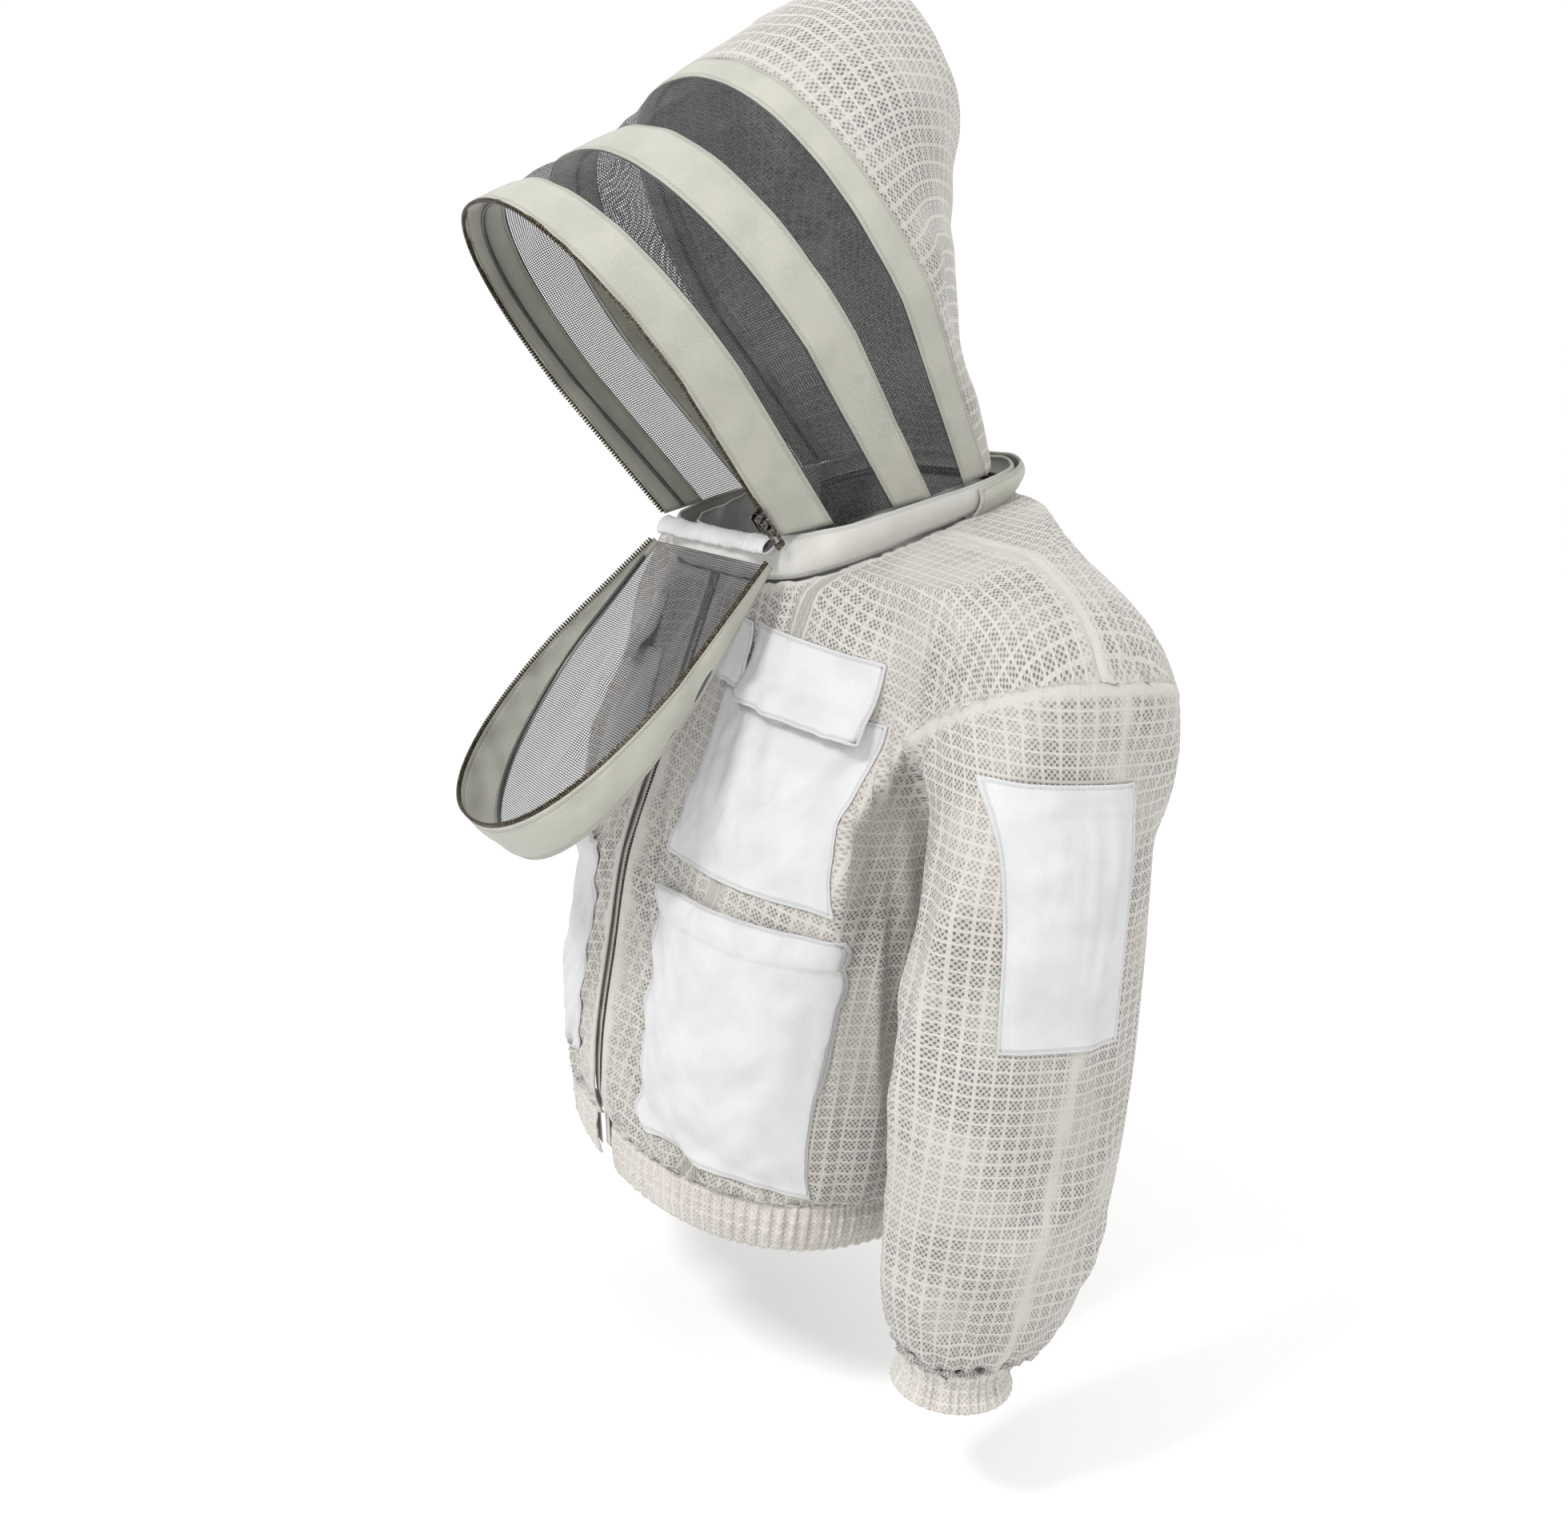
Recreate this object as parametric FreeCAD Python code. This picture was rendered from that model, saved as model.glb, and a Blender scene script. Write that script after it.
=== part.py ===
"""Ventilated beekeeping jacket with a fencing-veil hood, as worn, with the face veil unzipped.

Frame, in millimetres: the origin is the centre of the neck opening, the wearer faces -Y, the
wearer's left is +X and +Z is up. Right-hand pieces are mirror images of the left-hand ones.
"""
import FreeCAD
import Part
import math
import os

V = FreeCAD.Vector

# ---- driving dimensions, millimetres and degrees -------------------------------------------
CLOTH = 3.0            # three-layer ventilated mesh
BAND = 2.4             # doubled twill tape over a hoop
NET = 1.2              # black veil netting
POCKET_WALL = 1.2
POCKET_STAND = 7.6     # how far a pocket stands off the cloth under it
FLAP_THICK = 1.8       # folded cotton of a pocket flap
GAP = 0.4              # clearance between pieces that move apart
ARMHOLE_GAP = 1.0      # clearance between a sleeve head and the body
FAR = 500              # beyond every part of the garment

NECK_TOP = (-28, 0.38)     # height at y = 0 and rise per mm of y, of the jacket's neck edge
HOOD_FOOT = (-1, 0.31)     # the same for the top of the hood's hem
NECK = (130, -104, 110, 3.8)
HEM_JOIN = -520            # height where the waistband is sewn on
HEM_LOW = -560
CHEST_LEAN = 0.3146        # forward lean of the upper chest per mm of drop

# level at y = 0, tilt, half width, front y (None on the straight chest), back y, squareness
TORSO = [
    (-560, 0.00, 196, -180, 66, 2.3),
    (-520, 0.00, 201, -184, 74, 2.3),
    (-495, 0.00, 214, -192, 86, 2.3),
    (-440, 0.00, 219, -192, 94, 2.4),
    (-370, 0.00, 221, -184, 100, 2.5),
    (-290, 0.00, 222, -174, 110, 2.6),
    (-210, 0.02, 222, None, 124, 2.6),
    (-150, 0.08, 225, None, 130, 2.6),
    (-112, 0.15, 223, None, 128, 2.6),
    (-75, 0.24, 215, None, 122, 2.7),
    (-46, 0.32, 184, None, 115, 3.1),
    (-28, 0.38, 130, -104, 110, 3.8),
]
SIDE_SEAM = 15             # y of the seam between the front and back panels

# sleeve centre x, centre y, level, half size in x, half size in y
SLEEVE = [
    (252, 30, -88, 34, 58),
    (270, 26, -120, 58, 84),
    (288, 20, -160, 67, 86),
    (300, 12, -200, 66, 86),
    (305, 5, -260, 63, 88),
    (305, 3, -315, 62, 91),
    (305, 1, -376, 62, 93),
    (305, -4, -437, 62, 93),
    (303, -11, -500, 60, 90),
    (300, -19, -556, 54, 72),
    (298, -28, -584, 46, 50),
    (298, -31, -592, 42.5, 42.5),
]
SHOULDER = V(240, 30, -140)    # where the sleeve swings from
HEAD_R = 108                   # radius of the sleeve head about the shoulder's Y axis
HEAD_HALF_Y = 122
HEAD_CUT = 24                  # where its two ends are cut flat, degrees from its axis
CUFF_BORE = 38
CUFF_WALL = 4.5
CUFF_TALL = 28

# hood outlines, each in a plane across the head: foot (y, z), crown (y, z), half widths at
# the foot and at the widest, as they fan back from the face opening
HOOD = {
    "rim": ((-106, -30.5), (-311, 186), 105, 133),
    "front_back": ((-66, -20), (-271, 209), 116, 142),
    "mid_front": ((-22, -7), (-233, 233), 127, 155),
    "mid_back": ((8, 2), (-195, 253), 130, 162),
    "rear_front": ((38, 12), (-159, 290), 128, 168),
    "rear_back": ((62, 19), (-140, 305), 122, 170),
    "crown_1": ((76, 23.5), (-76, 352), 110, 150),
    "crown_2": ((88, 27.5), (-2, 378), 84, 112),
    "crown_3": ((96, 30), (40, 350), 48, 70),
    "seam": ((101, 31.5), (62, 300), 14, 20),
}
LEG = 0.45             # share of an outline's height that is straight leg
ROUND = 2.3            # squareness of an outline's top
HOOP_R = 1.6
HOOP_GAP = 1.3         # between a hoop and the band round it
HOOD_PIVOT = V(0, 124, 30)

FLAP_PITCH = 47.5      # how far the open veil hangs below level, degrees
FLAP_LONG = 300
FLAP_DISH = 8          # angle between the veil's rim and its netting, degrees
FLAP_FOOT = 17         # where the veil's band starts, measured from its hinge

CHAIN = 3.0            # width and thickness of one row of zip teeth
CHAIN_SPLIT = 0.9      # half of the space between two closed rows
ZIP_DEPTH = 3.4        # from the face of the cloth to the front zip's teeth
TAPE = 0.8
TAPE_EDGE = 16
ZIP_OPEN = 9           # half of the space between the front panels
SLIDER_LONG = 16
SLIDER_WIDE = 10
PULL_LONG = 25
PIN_R = 0.65
EYE_R = 0.73
VEIL_PARK = 18         # how far up the leg the open veil's slider is parked
FLAP_LEAN = 0.34       # forward lean of the pocket flaps per mm of drop

# pocket outlines seen from the front, and the hollows in them, as corners (x, z) on the left
CHEST_POCKET = [(66, -139), (207, -154), (211, -292), (56, -276)]
CHEST_HOLLOW = [(68, -100), (205, -100), (209, -289), (59, -274)]
HIP_POCKET = [(62, -300), (212, -309), (202, -512), (70, -490)]
HIP_HOLLOW = [(64, -250), (210, -250), (200, -509), (72, -488)]
HOOK_TAPE = [(112, -148), (162, -153), (162, -164), (112, -159)]
# the two ends of each flap's hinge line, and how far the flap hangs
CHEST_FLAP = (V(84, -127, -97), V(196, -92, -113), 58)
PEN_FLAP = (V(54, -128, -93), V(80, -126.5, -97), 52)
# sleeve pocket: lowest and highest y, then lowest and highest z
SLEEVE_POCKET = (-54, 38, -346, -168)


# ---- small helpers ---------------------------------------------------------------------------
def box(x0, x1, y0, y1, z0, z1):
    return Part.makeBox(x1 - x0, y1 - y0, z1 - z0, V(x0, y0, z0))


def mirrored(shape):
    return shape.mirror(V(0, 0, 0), V(1, 0, 0))


def superellipse(t, half_a, half_b, power):
    c = math.cos(t)
    s = math.sin(t)
    a = half_a * math.copysign(abs(c) ** (2 / power), c)
    b = half_b * math.copysign(abs(s) ** (2 / power), s)
    return a, b


def closed_spline(points):
    curve = Part.BSplineCurve()
    curve.interpolate(points, PeriodicFlag=True)
    return Part.Wire([curve.toShape()])


def open_spline(points):
    curve = Part.BSplineCurve()
    curve.interpolate(points)
    return curve.toShape()


def loft(wires, ruled=False):
    return Part.makeLoft(wires, True, ruled)


def ring_wire(level, tilt, half, front, back, power, grow=0.0, count=32):
    """Closed outline round the body on a plane that rises by tilt towards the back."""
    points = []
    for k in range(count):
        x, y = superellipse(2 * math.pi * k / count, half + grow, (back - front) / 2 + grow, power)
        y += (front + back) / 2
        points.append(V(x, y, level + tilt * y))
    return closed_spline(points)


# ---- body of the jacket ------------------------------------------------------------------------
def chest(level, tilt):
    """Front y of the straight chest on a plane that rises by tilt."""
    top = NECK_TOP[0] + NECK_TOP[1] * NECK[1]
    return (NECK[1] - CHEST_LEAN * (top - level)) / (1 - CHEST_LEAN * tilt)


def torso_rows():
    return [(level, tilt, half, chest(level, tilt) if front is None else front, back, power)
            for level, tilt, half, front, back, power in TORSO]


def torso(grow, reach=0.0):
    """Solid body shape, its outline grown by grow and its two ends carried on by reach."""
    rows = torso_rows()
    if reach:
        low = rows[0]
        high = rows[-1]
        rows = [(low[0] - reach,) + low[1:]] + rows[1:-1] + [(high[0] + reach,) + high[1:]]
    return loft([ring_wire(*row, grow=grow) for row in rows])


def armhole(grow):
    """Drum about the shoulder's Y axis that the sleeve head turns in, its side bulged."""
    radius = HEAD_R + grow
    half = HEAD_HALF_Y + grow
    ends = half * math.cos(math.radians(HEAD_CUT))
    points = []
    for k in range(11):
        y = -ends + 2 * ends * k / 10
        points.append(SHOULDER + V(radius * math.sqrt(1 - (y / half) ** 2), y, 0))
    near = SHOULDER - V(0, ends, 0)
    far = SHOULDER + V(0, ends, 0)
    profile = Part.Wire([Part.makeLine(near, points[0]), open_spline(points),
                         Part.makeLine(points[-1], far), Part.makeLine(far, near)])
    return Part.Face(profile).revolve(SHOULDER, V(0, 1, 0), 360)


def neck_band(low, high, outer, inner):
    """Ring round the neck between two (level, tilt) planes."""
    def solid(grow, reach):
        return loft([ring_wire(low[0] - reach, low[1], *NECK, grow=grow),
                     ring_wire(high[0] + reach, high[1], *NECK, grow=grow)], ruled=True)
    return solid(outer, 0).cut(solid(inner, 4))


def pouch(layer, outline, mouth):
    """Patch pocket: a shell of the layer inside outline, hollow over mouth."""
    shell = layer(POCKET_STAND).cut(layer(GAP)).common(outline)
    hollow = layer(POCKET_STAND - POCKET_WALL).cut(layer(GAP + POCKET_WALL)).common(mouth)
    return shell.cut(hollow)


def prism_y(points, y0, y1):
    """Solid standing on an outline of (x, z) points, between two values of y."""
    wire = Part.makePolygon([V(x, y0, z) for x, z in points + points[:1]])
    return Part.Face(wire).extrude(V(0, y1 - y0, 0))


def front_line():
    """Centre-front of the jacket from neck to hem, as (y, z)."""
    return [(row[3], row[0] + row[1] * row[3]) for row in reversed(torso_rows())]


def zip_path(step=18):
    """Evenly spaced points down the centre front, straight above the belly."""
    line = front_line()
    straight = [(line[0][0] + CHEST_LEAN * (z - line[0][1]), z)
                for z in range(int(line[0][1]) - 1, -290, -step)]
    lower = [(y, z) for y, z in line if z <= -290]
    curve = Part.BSplineCurve()
    curve.interpolate([V(0, y, z) for y, z in straight + lower])
    return curve


def ribbon(curve, depth0, depth1, x0, x1, start=0.0, stop=1.0):
    """Strip that follows the centre front between two depths under the cloth's face."""
    first = curve.FirstParameter
    span = curve.LastParameter - first
    sides = []
    for depth in (depth0, depth1):
        side = []
        for k in range(41):
            u = first + span * (start + (stop - start) * k / 40)
            run = curve.tangent(u)[0]
            inward = V(1, 0, 0).cross(run)
            if inward.y < 0:
                inward = -inward
            side.append(curve.value(u) + inward * depth + V(x0, 0, 0))
        sides.append(side)
    edges = [open_spline(sides[0]), Part.makeLine(sides[0][-1], sides[1][-1]),
             open_spline(sides[1][::-1]), Part.makeLine(sides[1][0], sides[0][0])]
    return Part.Face(Part.Wire(edges)).extrude(V(x1 - x0, 0, 0))


# ---- hood ------------------------------------------------------------------------------------
def between(first, second, share):
    """Hood outline a share of the way from one to the next."""
    def mix(p, q):
        return p + (q - p) * share
    a = HOOD[first]
    b = HOOD[second]
    foot = tuple(mix(p, q) for p, q in zip(a[0], b[0]))
    top = tuple(mix(p, q) for p, q in zip(a[1], b[1]))
    return foot, top, mix(a[2], b[2]), mix(a[3], b[3])


def arch_points(outline, inset=0.0, count=13):
    """Leg foot, leg top, then the round top from +X to -X, in the outline's own plane."""
    foot, top, _, wide = outline
    start = V(0, *foot)
    rise = V(0, *top) - start
    tall = rise.Length
    rise.normalize()
    knee = LEG * tall
    points = []
    for k in range(count):
        x, s = superellipse(math.pi * k / (count - 1), wide - inset, tall - inset - knee, ROUND)
        points.append(start + V(x, 0, 0) + rise * (knee + abs(s)))
    return start, rise, points


def arch_wire(outline, inset=0.0, drop=0.0, shift=None):
    """Closed outline: two straight legs, a round top and a line across the foot."""
    narrow = outline[2]
    wide = outline[3]
    start, rise, points = arch_points(outline, inset)
    knee = (points[0] - start).dot(rise)
    lean = (wide - narrow) / knee
    right = start + V(narrow - inset - lean * drop, 0, 0) - rise * drop
    left = V(-right.x, right.y, right.z)
    wire = Part.Wire([Part.makeLine(right, points[0]), open_spline(points),
                      Part.makeLine(points[-1], left), Part.makeLine(left, right)])
    if shift is not None:
        wire.translate(shift)
    return wire


def hood_shell(names, outer, inner, ruled=True):
    """Shell through the named hood outlines, open at the foot and at both ends."""
    outlines = [HOOD[name] for name in names]
    solid = loft([arch_wire(o, outer) for o in outlines], ruled)
    core = loft([arch_wire(o, inner, drop=14) for o in outlines], ruled)
    return solid.cut(core)


def arch_strip(outline, normal, inset0, inset1, low, high):
    """Flat strip that follows an outline, between two distances along its normal."""
    outer = Part.Face(arch_wire(outline, inset0, shift=normal * low))
    inner = Part.Face(arch_wire(outline, inset1, drop=14, shift=normal * low))
    return outer.cut(inner).extrude(normal * (high - low))


def hoop(outline, inset):
    """Round wire bent to an outline."""
    start, _, points = arch_points(outline, inset, 17)
    foot = start + V(outline[2] - inset, 0, 0)
    legs = [foot + (points[0] - foot) * share for share in (0.02, 0.35, 0.7)]
    other = [V(-p.x, p.y, p.z) for p in reversed(legs)]
    path = Part.Wire([open_spline(legs + points + other)])
    section = Part.Wire([Part.makeCircle(HOOP_R, legs[0], points[0] - foot)])
    return path.makePipeShell([section], True, False)


# ---- zip furniture -----------------------------------------------------------------------------
def placed(shape, origin, run, across):
    """Put a shape drawn along +X, with its width along Y and its face towards +Z, in place."""
    run = V(run)
    run.normalize()
    across = V(across)
    across.normalize()
    face = run.cross(across)
    spin = FreeCAD.Matrix(run.x, across.x, face.x, origin.x, run.y, across.y, face.y, origin.y,
                          run.z, across.z, face.z, origin.z, 0, 0, 0, 1)
    return shape.transformGeometry(spin)


def slider_shape():
    """Two plates either side of the teeth, a thin blade between the rows, and a lug with pin."""
    inner = CHAIN / 2 + 0.6
    outer = inner + 1.2
    half = SLIDER_LONG / 2
    wide = SLIDER_WIDE / 2
    top = box(-half, half, -wide, wide, inner, outer)
    low = box(-half, half, -wide, wide, -outer, -inner)
    blade = box(-half, -half + 5, -0.5, 0.5, -inner, inner)
    lug = box(-3, 1, -1.3, 1.3, outer, outer + 3)
    pin = Part.makeCylinder(PIN_R, 8, V(-1, -4, outer + 1.7), V(0, 1, 0))
    body = top.fuse([low, blade, lug, pin]).removeSplitter()
    corners = [e for e in body.Edges if abs(e.Length - 1.2) < 1e-6
               and abs(abs(e.CenterOfMass.x) - half) < 1e-6]
    return body.makeFillet(2.0, corners)


def pull_shape():
    """Flat tab with a window round the lug and two drilled ears."""
    level = CHAIN / 2 + 0.6 + 1.2 + 1.7
    tab = box(-1, PULL_LONG, -4, 4, level - 0.7, level + 0.7)
    tab = tab.makeFillet(2.2, [e for e in tab.Edges if abs(e.Length - 1.4) < 1e-6 and e.CenterOfMass.x > 1])
    window = box(-4, 6, -1.7, 1.7, level - 3, level + 3)
    slot = box(9, PULL_LONG - 5, -1.6, 1.6, level - 3, level + 3)
    ears = Part.makeCylinder(1.35, 8, V(-1, -4, level), V(0, 1, 0))
    bore = Part.makeCylinder(EYE_R, 10, V(-1, -5, level), V(0, 1, 0))
    return tab.fuse(ears).cut(window).cut(slot).cut(bore)


# ---- making the nodes --------------------------------------------------------------------------
NODES = {}


def keep(name, shape):
    solids = [s for s in shape.Solids if s.Volume > 1.0]
    NODES[name] = solids[0] if len(solids) == 1 else Part.makeCompound(solids)


def both(name, shape):
    keep(name + "_left", shape)
    keep(name + "_right", mirrored(shape))


def make_body():
    skin = torso(0).cut(torso(-CLOTH, reach=10))
    hole = armhole(ARMHOLE_GAP)
    upper = box(-FAR, FAR, -FAR, FAR, HEM_JOIN, FAR)
    shell = skin.common(upper).cut(hole).cut(mirrored(hole))
    both("front_panel", shell.common(box(ZIP_OPEN, FAR, -FAR, SIDE_SEAM, -FAR - 100, FAR)))
    keep("back_panel", shell.common(box(-FAR, FAR, SIDE_SEAM, FAR, -FAR - 100, FAR)))


def make_waistband():
    """Gathered casing on the hem with its elastic, open at the front zip."""
    rows = torso_rows()[:2]

    def slab(grow, low, high):
        wires = [ring_wire(low, *rows[0][1:], grow=grow), ring_wire(high, *rows[1][1:], grow=grow)]
        return loft(wires, ruled=True)
    top = HEM_JOIN - 0.2
    gate = box(-ZIP_OPEN, ZIP_OPEN, -FAR, 0, -FAR - 200, 0)
    casing = slab(1.5, HEM_LOW, top).cut(slab(-4.5, HEM_LOW - 5, top + 5))
    channel = slab(-0.6, HEM_LOW + 3, top + 5).cut(slab(-2.6, HEM_LOW + 3, top + 5))
    elastic = slab(-0.8, HEM_LOW + 4, top - 1).cut(slab(-2.4, HEM_LOW + 3, top))
    groove = ribbon(zip_path(), ZIP_DEPTH + CHAIN / 2 - TAPE, ZIP_DEPTH + CHAIN / 2 + TAPE,
                    0, TAPE_EDGE + GAP, 0.85, 1.0)
    keep("waistband", casing.cut(channel).cut(gate).cut(groove).cut(mirrored(groove)))
    clear = TAPE_EDGE + 2
    keep("waist_elastic", elastic.cut(box(-clear, clear, -FAR, 0, -FAR - 200, 0)))


def make_neck():
    chain_top = NECK_TOP[0] + CHAIN + GAP
    hem_low = chain_top + CHAIN + GAP + 0.4
    tilt = NECK_TOP[1]
    lower = neck_band((NECK_TOP[0] + GAP, tilt), (chain_top, tilt), -0.2, -0.2 - CHAIN)
    upper = neck_band((chain_top + GAP, tilt), (chain_top + GAP + CHAIN, tilt), -0.2, -0.2 - CHAIN)
    keep("neck_zip_teeth_jacket", lower)
    keep("neck_zip_teeth_hood", upper)
    keep("hood_hem", neck_band((hem_low, tilt), HOOD_FOOT, 0, -BAND))
    inside = neck_band((-62, tilt), (-2, tilt), -9, -11)
    keep("inner_collar", inside.common(box(-FAR, FAR, -FAR, 50, -FAR, FAR)))
    guard = neck_band((-26, tilt), (-8, tilt), 10, 7.6)
    keep("collar_guard", guard.common(box(-FAR, FAR, 45, FAR, -FAR, FAR)))


def make_front_zip():
    path = zip_path()
    depth = ZIP_DEPTH
    middle = depth + CHAIN / 2
    low = 0.955
    both("front_zip_teeth",
         ribbon(path, depth, depth + CHAIN, CHAIN_SPLIT, CHAIN_SPLIT + CHAIN, 0.012, low))
    both("front_zip_tape", ribbon(path, middle - TAPE / 2, middle + TAPE / 2,
                                  CHAIN_SPLIT + CHAIN, TAPE_EDGE, 0.004, low))
    stop = ribbon(path, depth, depth + CHAIN, CHAIN_SPLIT, CHAIN_SPLIT + CHAIN, 0.002, 0.011)
    keep("front_zip_stops", Part.makeCompound([stop, mirrored(stop)]))
    keep("front_zip_retainer", ribbon(path, depth - 0.6, depth + CHAIN + 0.6, -5.5, 5.5, low + 0.002, 0.99))
    start = path.value(path.FirstParameter)
    run = V(0, -CHEST_LEAN, -1)
    inward = V(0, 1, -CHEST_LEAN)
    inward.normalize()
    run.normalize()
    centre = start + run * (SLIDER_LONG / 2 + 8) + inward * middle
    keep("front_zip_slider", placed(slider_shape(), centre, run, V(1, 0, 0)))
    keep("front_zip_pull", placed(pull_shape(), centre, run, V(1, 0, 0)))


def make_pockets():
    hole = armhole(ARMHOLE_GAP + GAP)
    chest_pocket = pouch(torso, prism_y(CHEST_POCKET, -FAR, -30), prism_y(CHEST_HOLLOW, -FAR, -30))
    both("chest_pocket", chest_pocket.cut(hole))
    layer = torso(POCKET_STAND + 0.1 + TAPE).cut(torso(POCKET_STAND + 0.1))
    both("pocket_hook_tape", layer.common(prism_y(HOOK_TAPE, -FAR, -30)))
    both("hip_pocket", pouch(torso, prism_y(HIP_POCKET, -FAR, -40), prism_y(HIP_HOLLOW, -FAR, -40)))


def hung_plate(first, second, drop):
    """Flat flap that hangs from the line between two points and leans forward."""
    down = V(0, -FLAP_LEAN, -1)
    down.normalize()
    out = (second - first).cross(down)
    out.normalize()
    if out.y > 0:
        out = -out
    corners = [first, second, second + down * drop, first + down * drop, first]
    return Part.Face(Part.makePolygon(corners)).extrude(out * FLAP_THICK), out, down


def make_flaps():
    first, second, drop = CHEST_FLAP
    plate, out, down = hung_plate(first, second, drop)
    both("chest_flap", plate)
    run = second - first
    run.normalize()
    corner = first + run * 30 + down * 43 - out * (TAPE + 0.1)
    far = corner + run * 52
    patch = Part.Face(Part.makePolygon([corner, far, far + down * 12, corner + down * 12, corner]))
    both("flap_loop_tape", patch.extrude(out * TAPE))
    keep("pen_flap", hung_plate(*PEN_FLAP)[0])


def tube(grow, reach=0.0, pick=slice(None)):
    """Solid sleeve shape, its outline grown by grow and its ends carried on by reach."""
    rows = list(SLEEVE[pick])
    if reach:
        low = rows[-1]
        rows[-1] = low[:2] + (low[2] - reach,) + low[3:]
    wires = []
    for x, y, level, half_x, half_y in rows:
        points = []
        for k in range(24):
            a = 2 * math.pi * k / 24
            points.append(V(x + (half_x + grow) * math.cos(a), y + (half_y + grow) * math.sin(a), level))
        wires.append(closed_spline(points))
    return loft(wires)


def make_sleeves():
    outer = tube(0).fuse(armhole(0))
    inner = tube(-CLOTH, reach=10).fuse(armhole(-CLOTH))
    body = torso(ARMHOLE_GAP, reach=2)
    sleeve = outer.cut(inner).cut(body)
    both("sleeve", max(sleeve.Solids, key=lambda solid: solid.Volume))
    x, y, level = SLEEVE[-1][:3]
    low = level - 0.2 - CUFF_TALL

    def disc(radius, bottom, top):
        return Part.makeCylinder(radius, top - bottom, V(x, y, bottom))
    top = level - 0.2
    outside = CUFF_BORE + CUFF_WALL
    casing = disc(outside, low, top).cut(disc(CUFF_BORE, low - 1, top + 1))
    channel = disc(outside - 1.4, low + 3, top + 1).cut(disc(CUFF_BORE + 1.2, low + 3, top + 1))
    elastic = disc(outside - 1.6, low + 3.5, top - 1).cut(disc(CUFF_BORE + 1.4, low + 3, top))
    both("cuff", casing.cut(channel))
    both("cuff_elastic", elastic)
    y0, y1, z0, z1 = SLEEVE_POCKET
    patch = box(x, FAR, y0, y1, z0, z1)
    inside = box(x - 5, FAR, y0 + 2, y1 - 2, z0 + 2, z1 + 50)
    keep("sleeve_pocket", pouch(lambda grow: tube(grow, pick=slice(2, 9)), patch, inside))


def make_hood():
    bands = [("hood_band_front", "rim", "front_back"), ("hood_band_middle", "mid_front", "mid_back"),
             ("hood_band_rear", "rear_front", "rear_back")]
    for name, first, second in bands:
        keep(name, hood_shell([first, second], 0, BAND))
        keep(name.replace("band", "hoop"), hoop(between(first, second, 0.5), BAND + HOOP_R + HOOP_GAP))
    keep("veil_net_front", hood_shell(["front_back", "mid_front"], 0, NET))
    keep("veil_net_rear", hood_shell(["mid_back", "rear_front"], 0, NET))
    names = ["rear_back", "crown_1", "crown_2", "crown_3", "seam"]
    solid = loft([arch_wire(HOOD[name]) for name in names])
    inner = [arch_wire(HOOD[name], CLOTH, drop=14) for name in names]
    inner[-1].translate(V(0, -CLOTH - 0.4, 0))
    core = loft(inner)
    lining = [arch_wire(HOOD[name], CLOTH + 1.2, drop=14) for name in names]
    lining[-1].translate(V(0, -CLOTH - 1.6, 0))
    crown = solid.cut(core)
    both("hood_crown", crown.common(box(0, FAR, -FAR, FAR, -FAR, FAR)))
    tape = core.cut(loft(lining)).common(box(-7, 7, -FAR, FAR, 34, FAR))
    keep("hood_seam_tape", tape)


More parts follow.
